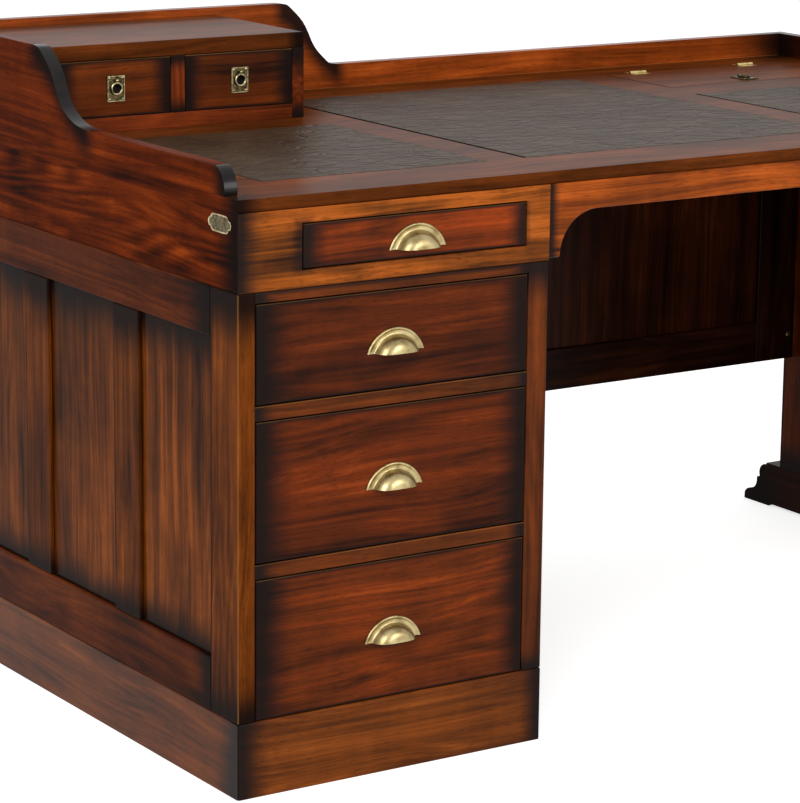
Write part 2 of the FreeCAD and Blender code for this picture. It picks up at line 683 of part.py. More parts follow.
def drop_ring():
    """Ring of eight-sided section with a neck and an eye round the pin."""
    pin_y = -plate_t - ear_out
    w = ring_wire
    c = w * 0.42
    sec = [V(ring_r - w, pin_y - c, 0), V(ring_r - c, pin_y - w, 0),
           V(ring_r + c, pin_y - w, 0), V(ring_r + w, pin_y - c, 0),
           V(ring_r + w, pin_y + c, 0), V(ring_r + c, pin_y + w, 0),
           V(ring_r - c, pin_y + w, 0), V(ring_r - w, pin_y + c, 0)]
    face = Part.Face(Part.makePolygon(sec + [sec[0]]))
    ring = face.revolve(V(0, 0, 0), V(0, 1, 0), 360)
    ring.translate(V(0, 0, pin_z - neck - ring_r))
    stem = board(-1.1, pin_y - 1.0, pin_z - neck - 0.4, 1.1, pin_y + 1.0, pin_z - 1.0)
    eye = Part.makeCylinder(1.9, 3.4, V(-1.7, pin_y, pin_z), V(1, 0, 0))
    bore = Part.makeCylinder(ring_pin + ring_play, 4, V(-2, pin_y, pin_z), V(1, 0, 0))
    return ring.fuse(stem).fuse(eye).cut(bore).removeSplitter()


ear_out = 2.3
neck = 3.4
pin_z = 11.6
dish_drop = pin_z - neck - ring_r


def dish_pocket():
    """Pocket behind the plate."""
    return Part.makeCylinder(dish_r, dish_d, V(0, -0.0, dish_drop), V(0, 1, 0))


# ---- small drawer box ---------------------------------------------------
cz0 = top_z
cx0 = gallery_t
cy1 = top_d - gallery_t
dz0 = cz0 + case_bottom_t
dz1 = case_z1 - case_top_t
ox0 = cx0 + case_stile_l
ox3 = case_x1 - case_stile_r
ox_w = (ox3 - ox0 - case_stile_m) / 2
ox1 = ox0 + ox_w
ox2 = ox1 + case_stile_m
save("case_shell", [board(cx0, case_y0, cz0, ox0, cy1, dz1),
                    board(ox3, case_y0, cz0, case_x1, cy1, dz1),
                    board(ox0, cy1 - 9.0, cz0, ox3, cy1, dz1)])
case_top = board(cx0, case_y0, dz1, case_x1, cy1, case_z1)
save("case_top", [eased(case_top, lambda m, e: (near(m.y, case_y0) or near(m.x, case_x1))
                        and near(m.z, case_z1), edge)])
save("case_floor", [board(ox0, case_y0, cz0, ox3, cy1 - 9.0, dz0)])
save("case_divider", [board(ox1, case_y0, dz0, ox2, cy1 - 9.0, dz1)])
pull_drop = 0.5
for name, a, b in (("left", ox0, ox1), ("right", ox2, ox3)):
    fx0 = a + reveal * 0.6
    fx1 = b - reveal * 0.6
    z0 = dz0 + run_gap
    z1 = dz1 - reveal * 0.6
    cx = (a + b) / 2
    cz = (dz0 + dz1) / 2 - pull_drop
    front = board(fx0, case_y0, z0, fx1, case_y0 + small_front_t, z1)
    front = eased(front, lambda m, e: near(m.y, case_y0), 0.8)
    front = front.cut(place_ring(dish_pocket(), 0, V(cx, case_y0, cz)))
    y0 = case_y0 + small_front_t
    y1 = y0 + small_len
    bx0 = fx0 + 0.6
    bx1 = fx1 - 0.6
    t = small_box_t
    h1 = z1 - 6.0
    bits = [board(bx0, y0, z0, bx0 + t, y1, h1), board(bx1 - t, y0, z0, bx1, y1, h1),
            board(bx0 + t, y1 - t, z0 + 4.0, bx1 - t, y1, h1),
            board(bx0 + t, y0, z0, bx1 - t, y1, z0 + 4.0)]
    at = V(cx, case_y0, cz)
    save("small_" + name + "_front", [front])
    save("small_" + name + "_box", bits)
    save("small_" + name + "_plate", [place_ring(ring_plate(), 0, at)])
    save("small_" + name + "_ring", [place_ring(drop_ring(), 0, at)])

# Ring pull let on to the flap, lying flat; its ring lifts towards the back.
lid_pull = V(lid_x0 + lid_w / 2, lid_y0 + 33.0, top_z)
lid = lid.cut(place_ring(dish_pocket(), -90, lid_pull))
save("lid", [lid])
save("lid_pull_plate", [place_ring(ring_plate(), -90, lid_pull)])
save("lid_ring", [place_ring(drop_ring(), -90, lid_pull)])
save("hinge_fixed", fixed)
save("hinge_moving", moving)

# ---- gallery ------------------------------------------------------------
low = top_z + gallery_low
high = top_z + gallery_high


def swoop(u0, w0, u1, w1, at):
    """Reversed curve between two heights, flat at both ends."""
    du = u1 - u0
    dw = w1 - w0
    pts = [at(u0, w0), at(u0 + 0.33 * du, w0 + 0.085 * dw),
           at(u0 + 0.5 * du, w0 + 0.27 * dw), at(u0 + 0.66 * du, w0 + 0.69 * dw),
           at(u0 + 0.83 * du, w0 + 0.94 * dw), at(u1, w1)]
    curve = Part.BSplineCurve()
    flat = at(u1, w0).sub(at(u0, w0))
    flat.normalize()
    curve.interpolate(Points=pts, InitialTangent=flat, FinalTangent=flat)
    return curve.toShape()


def side_gallery(x, tall):
    """Side gallery in the plane X = x: rounded front end, then back.

    It stands on the top board, flush with its edge.
    """
    def at(y, z):
        return V(x, y, z)
    start = at(gallery_y0, top_z)
    nose = at(gallery_y0 + 6.5, top_z + gallery_low * 0.72)
    crest = at(gallery_y0 + 22.0, low)
    edges = [Part.Arc(start, nose, crest).toShape()]
    end = top_d - gallery_t
    if tall:
        edges += [seg(crest, at(swoop_y0, low)), swoop(swoop_y0, low, swoop_y1, high, at),
                  seg(at(swoop_y1, high), at(end, high)), seg(at(end, high), at(end, top_z))]
    else:
        edges += [seg(crest, at(end, low)), seg(at(end, low), at(end, top_z))]
    edges.append(seg(at(end, top_z), start))
    return swept(edges, V(gallery_t, 0, 0))


save("gallery_left", [side_gallery(0, True)])
save("gallery_right", [side_gallery(desk_w - gallery_t, False)])


def at_back(x, z):
    return V(x, top_d - gallery_t, z)


back_edges = [seg(at_back(0, top_z), at_back(0, high)),
              seg(at_back(0, high), at_back(swoop_x0, high)),
              swoop(swoop_x1, low, swoop_x0, high, at_back),
              seg(at_back(swoop_x1, low), at_back(desk_w, low)),
              seg(at_back(desk_w, low), at_back(desk_w, top_z)),
              seg(at_back(desk_w, top_z), at_back(0, top_z))]
save("gallery_back", [swept(back_edges, V(0, gallery_t, 0))])

# ---- write the nodes ----------------------------------------------------
os.makedirs("parts", exist_ok=True)
for node, solids in nodes.items():
    moved = []
    for s in solids:
        for one in s.Solids:
            c = one.copy()
            c.translate(origin.negative())
            moved.append(c)
    shape = moved[0] if len(moved) == 1 else Part.makeCompound(moved)
    if not shape.isValid():
        print("NOT VALID", node)
    shape.exportStep("parts/%s.step" % node)
print(len(nodes), "nodes")
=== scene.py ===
# %% [markdown]
# # A captain's desk in stained mahogany, leather and antique brass
# This lesson dresses a desk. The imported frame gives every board, drawer, hinge
# and pull in its true place, in metres, with X along the desk, Y to the back
# and Z up. What is added here is the look: eased arrises, stained and
# lacquered timber with its grain laid along each board, crinkled leather, and
# brass gone dull with age.

# %% Load the frame
import json
import math
import random

import bmesh
import bpy
from mathutils import Matrix, Vector


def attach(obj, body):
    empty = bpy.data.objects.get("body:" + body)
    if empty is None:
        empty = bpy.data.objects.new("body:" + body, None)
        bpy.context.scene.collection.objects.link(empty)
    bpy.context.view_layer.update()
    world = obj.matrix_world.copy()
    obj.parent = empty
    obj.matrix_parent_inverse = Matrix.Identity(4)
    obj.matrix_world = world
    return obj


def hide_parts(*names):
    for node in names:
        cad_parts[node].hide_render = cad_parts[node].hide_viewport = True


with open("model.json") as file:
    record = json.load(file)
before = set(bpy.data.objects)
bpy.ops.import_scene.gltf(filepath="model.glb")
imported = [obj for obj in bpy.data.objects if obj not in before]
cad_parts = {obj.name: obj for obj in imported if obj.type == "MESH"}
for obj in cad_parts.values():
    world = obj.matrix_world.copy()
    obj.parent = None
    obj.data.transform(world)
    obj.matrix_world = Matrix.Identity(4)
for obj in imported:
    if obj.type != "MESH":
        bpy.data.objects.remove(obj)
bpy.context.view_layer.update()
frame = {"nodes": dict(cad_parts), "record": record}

scene = bpy.context.scene
nodes = frame["nodes"]
body_of_node = {n: b for b, group in frame["record"]["behaviour"]["bodies"].items()
                for n in group}
MM = 0.001

# %% [markdown]
# ## Camera
# The desk is seen from its left front corner, from a little above the top, by
# a long lens a good four metres off. A Track To constraint could aim the
# camera, but a matrix made from three angles also holds its slight roll. Its
# place is measured from the corner of the plinth nearest to the viewer.

# %% Camera
corner = Vector((-0.786, -0.428, 0.0))


def aim_camera(place_mm, turn, dip, roll, lens):
    """Camera at a place measured from the plinth's corner; angles in degrees."""
    turn, dip, roll = (math.radians(a) for a in (turn, dip, roll))
    ahead = Vector((math.sin(turn) * math.cos(dip), math.cos(turn) * math.cos(dip),
                    -math.sin(dip)))
    right = Vector((math.cos(turn), -math.sin(turn), 0.0))
    up = right.cross(ahead)
    side = right * math.cos(roll) + up * math.sin(roll)
    top = up * math.cos(roll) - right * math.sin(roll)
    eye = bpy.data.objects.new("desk_camera", bpy.data.cameras.new("desk_camera"))
    scene.collection.objects.link(eye)
    turned = Matrix((side, top, -ahead)).transposed().to_4x4()
    eye.matrix_world = Matrix.Translation(corner + Vector(place_mm) * MM) @ turned
    eye.data.sensor_width = 36.0  # mm
    eye.data.lens = lens
    eye.data.clip_end = 60.0  # metres, past the far side of the floor
    return eye


scene.camera = aim_camera((-2006.0, -3430.0, 1443.0), turn=33.24, dip=12.97, roll=0.62,
                          lens=146.39)
print("camera at", [round(v, 3) for v in scene.camera.matrix_world.translation])

# %% [markdown]
# ## Nodes and colours
# Every finish is a small web of shader nodes. They could be set one line at a
# time, but a web of thirty nodes is hard to read that way, so one helper adds
# a node, sets it, links it and gives back its output. Colours are written as
# sRGB hex, as a paint chart gives them, and one function turns them into the
# linear values that a shader needs.

# %% Helpers for materials


def colour(code):
    """Linear RGBA of an sRGB hex colour, opaque."""
    parts = [int(code[i:i + 2], 16) / 255 for i in (1, 3, 5)]
    line = [p / 12.92 if p <= 0.04045 else ((p + 0.055) / 1.055) ** 2.4 for p in parts]
    return (*line, 1.0)


def add(tree, kind, *values, out=0, stops=(), **named):
    """Add a shader node and give back one of its outputs.

    values fill the inputs from the first on. A name that the node has itself
    is a setting. Any other is an input, with _ for a space or before a
    number. Sockets are linked and plain values set. stops are the places and
    hex colours of a ramp.
    """
    made = tree.nodes.new("ShaderNode" + kind)
    feeds = dict(enumerate(values))
    for name, value in named.items():
        if hasattr(made, name):
            setattr(made, name, value)
        elif name[1:].isdigit():
            feeds[int(name[1:])] = value
        else:
            feeds[name.replace("_", " ")] = value
    for where, value in feeds.items():
        if isinstance(value, bpy.types.NodeSocket):
            tree.links.new(value, made.inputs[where])
        else:
            made.inputs[where].default_value = value
    if stops:
        points = made.color_ramp.elements
        while len(points) < len(stops):
            points.new(0.5)
        for point, (place, code) in zip(points, stops):
            point.position = place
            point.color = colour(code)
    return made.outputs[out] if made.outputs else None


def fresh(name):
    """Material without nodes, its tree and the place on the object."""
    mat = bpy.data.materials.new(name)
    mat.use_nodes = True
    mat.node_tree.nodes.clear()
    return mat, mat.node_tree, add(mat.node_tree, "TexCoord", out="Object")


print("helpers ready; the glaze is", [round(c, 4) for c in colour("#120b09")])

# %% [markdown]
# ## Stains, glaze, wear and painted light
# Each stain is four tones, from the darkest streaks to the palest wood between
# them. One stain for the whole desk would look printed: boards never take it
# alike, so there are many. Over the stain the finisher rubs a near-black
# glaze into ends and corners, called a burst, and rubs the sharpest arrises
# back to pale wood. The same near-black also paints shade, in thin shadow
# lines where parts meet, and the pale arris lines are also painted highlights.

# %% Stains
PALETTES = {
    "amber": ("#371504", "#72320a", "#93430f", "#b45517"),
    "frieze": ("#2b1103", "#69340a", "#88440f", "#ab5719"),
    "front": ("#260b02", "#501f07", "#672809", "#883911"),
    "front_dark": ("#1f0902", "#451a06", "#5a2308", "#78330f"),
    "front_pale": ("#2b0e03", "#5b260a", "#752f0c", "#974314"),
    "small": ("#290f03", "#562407", "#6f300a", "#8c4212"),
    "drawer": ("#3a1404", "#742d08", "#93390d", "#b44c16"),
    "post": ("#2a1003", "#562607", "#6b300a", "#8c4212"),
    "stile": ("#2a1304", "#57290a", "#70380f", "#974f19"),
    "side": ("#230c02", "#4b1d05", "#5f2908", "#7c3b11"),
    "panel": ("#2b1304", "#572a0a", "#703810", "#944d19"),
    "plinth": ("#2a1103", "#5a2b0a", "#74390f", "#985019"),
    "top": ("#301404", "#5c2c0c", "#733812", "#944a1a"),
    "gallery": ("#260a01", "#531c03", "#702a07", "#964010"),
    "back": ("#451b05", "#80380f", "#9f4715", "#c45c1f"),
    "case": ("#301003", "#60260a", "#7a3210", "#9d4519"),
    # The two darkest stains are painted shade for the parts deep in the kneehole.
    "shade": ("#080301", "#170803", "#250f05", "#38190a"),
    "kneehole_shade": ("#0f0501", "#250d04", "#371707", "#50250d"),
    "inside": ("#5a3a20", "#86592f", "#a87a48", "#b98c58"),
}
# Near-black of the glaze; the same colour is painted shade where a band stands for a shadow.
GLAZE_AND_SHADE = "#120b09"
# Pale wood of a rubbed arris, also a painted highlight along the edges.
RUBBED_AND_HIGHLIGHT = "#a9743c"
print(len(PALETTES), "stains")

# %% [markdown]
# ## Where glaze, wear and painted light lie
# Three masks say where the glaze or the bare wood shows: a burst in from a
# face, a band under a long curve, and a thin line along an arris. Some bursts
# are painted shade where parts meet, and the arris line is rubbed wood and a
# painted highlight at once. They could be painted on to the boards, but sums
# on the distance to a board's own faces need no painting and follow the board
# when its size changes. Each mask is 1 in full and eases off to 0.

# %% Masks for glaze, wear and painted light
# A burst is a dark band, glaze in most places and painted shade in some; these are parts of
# its width.
GLAZE_SHADE_WAVER, GLAZE_SHADE_FULL, GLAZE_SHADE_END = 0.6, 0.2, 1.5  # parts of a burst's width
# The pale arris line is rubbed wood and a painted highlight at once.
RUB_HIGHLIGHT_FULL, RUB_HIGHLIGHT_END = 0.6 * MM, 1.6 * MM  # the rubbed line fades between these


def darker_of(tree, a, b):
    """The greater of two masks or distances; the first may be missing."""
    return b if a is None else add(tree, "Math", a, b, operation="MAXIMUM")


def distance(tree, place, position):
    """How far a coordinate is from a position, to either side."""
    off = add(tree, "Math", place, position, operation="SUBTRACT")
    return add(tree, "Math", off, operation="ABSOLUTE")


def glaze_and_shade_mask(tree, place, waver, sides):
    """1 at the named faces, easing to 0 the given distance in from them.

    sides holds (planes, width, strength), in metres, and a plane is (axis
    number, position, direction inwards). With a direction of 0 the distance
    runs both ways from a middle, outside the half size that comes fourth. Of
    several planes the farthest counts, so two of them make a dark corner.
    """
    total = None
    for planes, width, strength in sides:
        depth = None
        for axis, face, inward, *half in planes:
            if inward:
                far = add(tree, "Math", place[axis], inward, -face * inward,
                          operation="MULTIPLY_ADD")
            else:
                far = add(tree, "Math", distance(tree, place[axis], face), half[0],
                          operation="SUBTRACT")
            depth = darker_of(tree, depth, far)
        # The waver keeps the edge of the glaze and of the painted shade from running
        # straight.
        depth = add(tree, "Math", waver, width * GLAZE_SHADE_WAVER, depth, operation="MULTIPLY_ADD")
        band = add(tree, "MapRange", depth, width * GLAZE_SHADE_FULL, width * GLAZE_SHADE_END, strength,
                   0.0, interpolation_type="SMOOTHSTEP")
        total = darker_of(tree, total, band)
    return total


def curve_mask(tree, place, curve):
    """Dark band under a long S curve, inside a window of one axis.

    curve is (axis number, start, end, height at start, height at end, width).
    """
    axis, start, end, start_z, end_z, width = curve
    lean = 1 / math.hypot(1.0, (end_z - start_z) / (end - start))
    line = add(tree, "MapRange", place[axis], start, end, start_z, end_z,
               interpolation_type="SMOOTHSTEP")
    below = add(tree, "Math", line, place[2], operation="SUBTRACT")
    depth = add(tree, "Math", below, lean, operation="MULTIPLY")
    band = add(tree, "MapRange", depth, width * 0.2, width, 1.0, 0.0,
               interpolation_type="SMOOTHSTEP")
    reach = abs(end - start) / 2
    away = distance(tree, place[axis], (start + end) / 2)
    window = add(tree, "MapRange", away, reach * 0.75, reach * 1.25, 1.0, 0.0,
                 interpolation_type="SMOOTHSTEP")
    return add(tree, "Math", band, window, operation="MULTIPLY")


def rub_and_highlight_mask(tree, place, rubs_and_highlights):
    """1 along an arris between two faces: (axis, position, axis, position)."""
    total = None
    for axis, face, other_axis, other_face in rubs_and_highlights:
        off = darker_of(tree, distance(tree, place[axis], face),
                        distance(tree, place[other_axis], other_face))
        line = add(tree, "MapRange", off, RUB_HIGHLIGHT_FULL, RUB_HIGHLIGHT_END, 1.0, 0.0)
        total = darker_of(tree, total, line)
    return total


print("three masks ready")

# %% [markdown]
# ## Stained mahogany
# The timber is a plain hardwood under a red-brown stain and a lacquer. Its
# look has these parts: broad uneven takes of the stain, long streaks that
# wander a little along the board, finer lines between them, a faint curl
# across the grain, the contour lines of the growth rings, and short dark
# pores. A wave texture would draw the rings too straight, so all are noise,
# squeezed across the grain and stretched along it. Each board has its own
# patch of the pattern and its own dark bands of glaze and painted shade, so
# each gets its own copy of the finish. A low specular level keeps the
# lacquer's haze down, and the pores are the only bump.

# %% The timber finish
TURNS = {"x": (0.0, 0.0, 0.0), "y": (0.0, 0.0, math.pi / 2), "z": (0.0, math.pi / 2, 0.0)}
SWAY = 50 * MM  # the grain wanders over this width
RING_TURNS = 85.0  # how often the ring lines repeat over the range of their noise
RING_WEIGHT = 0.35
GLAZE_AND_SHADE_COVER = 0.96
chance = random.Random(7)


def mahogany(name, grain, palette, sides=(), curve=None, rubs_and_highlights=(), gloss=0.24, shine=0.07,
             figure=0.16, contrast=1.0, wear=0.5):
    """Stained and lacquered timber with its grain along x, y or z.

    sides, curve and rubs are what the three masks take. figure is the weight
    of the growth rings, contrast that of the other layers, and wear says how
    far a pale arris line goes to pale wood; that line is rubbed wood and a
    painted highlight at once.
    """
    mat, tree, spot = fresh(name)
    shift = [chance.uniform(-9, 9) for _ in range(3)]
    laid = add(tree, "Mapping", spot, Location=shift, Rotation=TURNS[grain])

    def noise(along, across, detail, rough=0.5, source=laid):
        """Noise whose cells are so many millimetres along and across the grain."""
        size = (1 / (along * MM), 1 / (across * MM), 1 / (across * MM))
        squeezed = add(tree, "VectorMath", source, size, operation="MULTIPLY")
        return add(tree, "TexNoise", squeezed, Scale=1.0, Detail=detail, Roughness=rough)

    sway = add(tree, "Math", noise(420, 150, 1.0), SWAY, -SWAY / 2, operation="MULTIPLY_ADD")
    sway = add(tree, "CombineXYZ", 0.0, sway, sway)
    bent = add(tree, "VectorMath", laid, sway)
    takes = noise(230, 95, 2.0)
    streaks = noise(900, 15, 2.0, 0.6, bent)
    fine_lines = noise(420, 3.4, 1.0, 0.5, bent)
    curl = noise(24, 48, 2.0)
    growth = noise(760, 80, 1.0, 0.4, bent)
    rings = add(tree, "Math", growth, RING_TURNS, operation="MULTIPLY")
    rings = add(tree, "Math", rings, operation="SINE")
    # Real pores are 0.1 or 0.2 mm wide. They are drawn coarser here, to show.
    pores = noise(17, 0.9, 0.0, 0.5, bent)
    tone = 0.5
    for layer, weight in ((takes, 0.85), (streaks, 0.8), (fine_lines, 0.34), (curl, 0.14)):
        weight = weight * contrast
        centred = add(tree, "Math", layer, weight, -weight / 2, operation="MULTIPLY_ADD")
        tone = add(tree, "Math", centred, tone, operation="ADD")
    tone = add(tree, "Math", rings, figure * RING_WEIGHT, tone, operation="MULTIPLY_ADD")
    dark, mid, light, pale = PALETTES[palette]
    stain = add(tree, "ValToRGB", tone,
                stops=((0.16, dark), (0.45, mid), (0.66, light), (0.92, pale)))
    fleck = add(tree, "MapRange", pores, 0.60, 0.74, 0.0, 0.4)
    stain = add(tree, "Mix", fleck, _6=stain, _7=colour(dark), data_type="RGBA", out=2)
    place = add(tree, "SeparateXYZ", spot).node.outputs
    if sides or curve:
        waver = add(tree, "Math", noise(110, 55, 2.0), 0.5, operation="SUBTRACT")
        mask = glaze_and_shade_mask(tree, place, waver, sides) if sides else 0.0
        if curve:
            mask = darker_of(tree, curve_mask(tree, place, curve), mask)
        # Near-black over the stain: glaze, and painted shade where the band stands for a
        # shadow.
        cover = add(tree, "Math", mask, GLAZE_AND_SHADE_COVER, operation="MULTIPLY")
        stain = add(tree, "Mix", cover, _6=stain, _7=colour(GLAZE_AND_SHADE), data_type="RGBA", out=2)
    # Pale arris line over the stain: rubbed wood and a painted highlight at once.
    if rubs_and_highlights:
        uneven = noise(120, 40, 2.0)
        worn_and_lit = add(tree, "Math", rub_and_highlight_mask(tree, place, rubs_and_highlights), uneven, operation="MULTIPLY")
        worn_and_lit = add(tree, "Math", worn_and_lit, wear, operation="MULTIPLY")
        stain = add(tree, "Mix", worn_and_lit, _6=stain, _7=colour(RUBBED_AND_HIGHLIGHT), data_type="RGBA", out=2)
    bump = add(tree, "Bump", Strength=0.12, Distance=0.05 * MM, Height=pores)
    coat = add(tree, "BsdfPrincipled", Base_Color=stain, Roughness=gloss, Normal=bump,
               Specular_IOR_Level=shine)
    add(tree, "OutputMaterial", coat)
    return mat


print("timber finish ready")

# %% [markdown]
# ## Taking nodes apart
# A node may hold several boards. Separate By Loose Parts would split it in the
# editor; here its triangles are read in order and gathered solid by solid, so
# that boards that touch stay apart. That lets grain and burst follow each
# board. The triangles are joined back into flat faces, so that a bevel runs
# only along true edges.

# %% Solids of a node and their corners


def loose_pieces(node):
    """Clean copies of the separate solids in one node, as bmeshes.

    A node lists its triangles solid by solid, and a solid is complete when
    every edge has been met in both directions.
    """
    mesh = nodes[node].data
    spots = [tuple(round(c, 5) for c in v.co) for v in mesh.vertices]
    solids = []
    run = []
    unmet = set()
    for face in mesh.polygons:
        ring = [spots[i] for i in face.vertices]
        run.append(ring)
        for a, b in zip(ring, ring[1:] + ring[:1]):
            if (b, a) in unmet:
                unmet.remove((b, a))
            else:
                unmet.add((a, b))
        if not unmet:
            one = bmesh.new()
            made = {spot: one.verts.new(spot) for ring in run for spot in ring}
            for ring in run:
                if len(set(ring)) == len(ring):
                    one.faces.new([made[spot] for spot in ring])
            bmesh.ops.dissolve_limit(one, angle_limit=math.radians(0.6), verts=one.verts,
                                     edges=one.edges, delimit=set())
            solids.append(one)
            run = []
    solids.sort(key=lambda bm: tuple(round(min(v.co[i] for v in bm.verts), 4)
                                     for i in range(3)))
    return solids


def corners(bm):
    """Lowest and highest corner of a bmesh."""
    low = Vector([min(v.co[i] for v in bm.verts) for i in range(3)])
    high = Vector([max(v.co[i] for v in bm.verts) for i in range(3)])
    return low, high


def corners_of(node):
    """Lowest and highest corner of a node's first solid."""
    return corners(loose_pieces(node)[0])


print("the side frame holds", len(loose_pieces("side_frame")), "boards")

# %% [markdown]
# ## Pieces
# Every new piece is a mesh that stands where the desk has it, rides on one of
# the desk's bodies and takes the finish it is given. It may stand in for a node.

# %% Making a piece
pieces = {}


def made_object(name, bm, mat):
    """Link a new object with a bmesh's mesh and one material."""
    mesh = bpy.data.meshes.new(name)
    bm.to_mesh(mesh)
    bm.free()
    mesh.materials.append(mat)
    made = bpy.data.objects.new(name, mesh)
    scene.collection.objects.link(made)
    return made


def finish_piece(name, bm, mat, body, stands_for=(), smooth=35.0):
    """Turn a bmesh into a piece that rides on a body, in place of a node or new."""
    piece = pieces[name] = made_object(name, bm, mat)
    piece.data.shade_smooth()
    piece.data.set_sharp_from_angle(angle=math.radians(smooth))
    if stands_for:
        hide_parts(*stands_for)
    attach(piece, body)
    return piece


# %% [markdown]
# ## Boards
# A board in the frame is a plain solid. On the desk every arris is eased, and
# that thin rounded edge is what catches the light. A Bevel modifier eases all
# arrises of a board by one radius, and its hardened normals keep the faces
# looking flat. The bursts, which are glaze and in places painted shade, and
# the pale arrises, which are rubbed wood and painted highlight, are told by
# side: "x-" is the left end, "y-" the front, "z+" the top.

# %% Turning solids into boards
EASE_SEGMENTS = 2
EASE_ANGLE = math.radians(32)  # above the steps of a curve


def plane_of(low, high, side):
    """Axis number, position and direction inwards of a side such as "x-"."""
    axis = "xyz".index(side[0])
    return (axis, high[axis], -1.0) if side[1] == "+" else (axis, low[axis], 1.0)


def faces_of(low, high, bands):
    """Turn {"x-": width in mm} into the planes that glaze_and_shade_mask takes.

    A key of two sides, such as "x-y-", is the corner between them, and a
    width may come with a strength.
    """
    found = []
    for side, width in bands.items():
        width, strength = width if isinstance(width, tuple) else (width, 1.0)
        planes = [plane_of(low, high, side[i:i + 2]) for i in range(0, len(side), 2)]
        found.append((planes, width * MM, strength))
    return found


def boards(node, palette, grain=None, glaze_and_shade=None, ease=0.8, as_one=False, worn_and_lit=None,
           extra=(), **finish):
    """Every solid of a node as an eased board with its own stained finish.

    burst maps a side such as "x-" or "z+" to the width in mm of its dark
    band, which is glaze, and painted shade where it stands for a shadow. worn
    names the arrises, such as ("x-", "y-"), that are drawn pale, as rubbed
    wood and as a painted highlight. burst, palette and worn may be functions
    of the board's corners.
    grain is the long way of the board unless it is given. ease is the radius
    of the arrises in mm. as_one gives all boards one finish, and extra adds
    entries as glaze_and_shade_mask takes them.
    """
    made = []
    shared = None
    for i, bm in enumerate(loose_pieces(node)):
        low, high = corners(bm)
        size = high - low
        way = grain or "xyz"[max(range(3), key=lambda k: size[k])]
        bands = glaze_and_shade(low, high) if callable(glaze_and_shade) else (glaze_and_shade or {})
        pairs = worn_and_lit(low, high) if callable(worn_and_lit) else (worn_and_lit or ())
        rubs_and_highlights = []
        for one, other in pairs:
            rubs_and_highlights.append((*plane_of(low, high, one)[:2], *plane_of(low, high, other)[:2]))
        stain = palette(low, high) if callable(palette) else palette
        mat = shared or mahogany(f"stained_mahogany_{node}_{i}", way, stain,
                                 faces_of(low, high, bands) + list(extra), rubs_and_highlights=rubs_and_highlights,
                                 **finish)
        shared = mat if as_one else None
        piece = finish_piece(f"{node}_board_{i}", bm, mat, body_of_node[node],
                             (node,))
        if ease:
            round_over = piece.modifiers.new("eased_arrises", "BEVEL")
            round_over.width = ease * MM
            round_over.segments = EASE_SEGMENTS
            round_over.limit_method = "ANGLE"
            round_over.angle_limit = EASE_ANGLE
            round_over.harden_normals = True
            round_over.use_clamp_overlap = True
        made.append(piece)
    return made


print("board helpers ready")

# %% [markdown]
# ## Pedestal
# The finisher's burst follows the furniture: the ends of the drawer fronts,
# the corners of the plinth, and the tops and feet of posts and panels are
# almost black, and the fields between them are left clear and warm. Thin
# dark lines beside the stiles and along the top rail under the frieze are
# painted shadow, and the pale upper arrises are partly painted highlights.

# %% Pedestal
# The upper front arris of drawers and rails, drawn pale: rubbed wood and a painted highlight
# at once.
TOP_ARRIS = (("y-", "z+"),)
LONG = 0.3  # boards longer than this are the long ones of their node
UPPER_RAIL_Z = 0.6  # boards that reach above this height are the upper rails


def plinth_burst(low, high):
    """Front and back boards are dark at their ends, and so are the side boards."""
    return {"x-": 34, "x+": 26} if high.x - low.x > LONG else {"y-": 40, "y+": 40}


def is_post(low, high):
    """True of a board of a side frame that stands upright."""
    return high.z - low.z > high.y - low.y


def side_glaze_and_shade(low, high):
    """Rails are dark at their ends, posts at top and foot."""
    if is_post(low, high):
        # The thin dark line down a post's back edge is painted shadow.
        return {"z+": 62, "z-": 40, "y+": 5}
    return {"y-": 52, "y+": 52} if high.z > UPPER_RAIL_Z else {"y-": 36, "y+": 36}


def side_stain(low, high):
    """Stiles are as pale as the panels, rails are darker."""
    return "stile" if is_post(low, high) else "side"


def post_wear(low, high):
    """The corner post's front arris is drawn pale: rubbed wood and a painted highlight at
    once.
    """
    return (("x-", "y-"),) if low.y < corner.y + 10 * MM else ()


def face_glaze_and_shade(low, high):
    """Stiles and rails are dark at their ends, the top rail along its upper edge too."""
    if high.z - low.z > LONG:
        return {"z+": 40, "z-": 22}
    # The dark line along the top rail's upper edge is painted shadow under the frieze.
    return {"x-": 26, "x+": 22, "z+": (6, 0.9 if high.z > UPPER_RAIL_Z else 0.0)}


def rail_wear(low, high):
    """The rails between the drawers have a pale upper arris: rubbed wood and a painted
    highlight at once.
    """
    return () if high.z > UPPER_RAIL_Z else TOP_ARRIS


count = boards("plinth", "plinth", glaze_and_shade=plinth_burst, ease=1.6)
count += boards("side_frame", side_stain, glaze_and_shade=side_glaze_and_shade, worn_and_lit=post_wear, shine=0.016,
                wear=0.7, contrast=1.2)
# The dark lines down the panels' front and back edges are painted shadow beside the stiles.
count += boards("side_panels", "panel", "z",
                glaze_and_shade={"z+": 56, "z-": 40, "y+": 9, "y-": 6}, ease=0, contrast=1.3,
                shine=0.02)
count += boards("inner_side", "side", "z", glaze_and_shade={"y-": 20, "z+": 50})
count += boards("carcass_back", "side", "z")
count += boards("carcass_bottom", "inside", "x", ease=0)
count += boards("dust_board", "inside", "x", ease=0)
count += boards("face_frame", "post", glaze_and_shade=face_glaze_and_shade, worn_and_lit=rail_wear)
count += boards("runners", "inside", "y", ease=0)
for name, stain in (("lower", "front_pale"), ("middle", "front"), ("upper", "front_dark")):
    count += boards(f"drawer_{name}_front", stain, "x", worn_and_lit=TOP_ARRIS, contrast=1.1,
                    glaze_and_shade={"x-": 42, "x+": 36, "z+": 5, "z-": 4}, ease=1.0, shine=0.055)
    count += boards(f"drawer_{name}_box", "inside", ease=0.4)
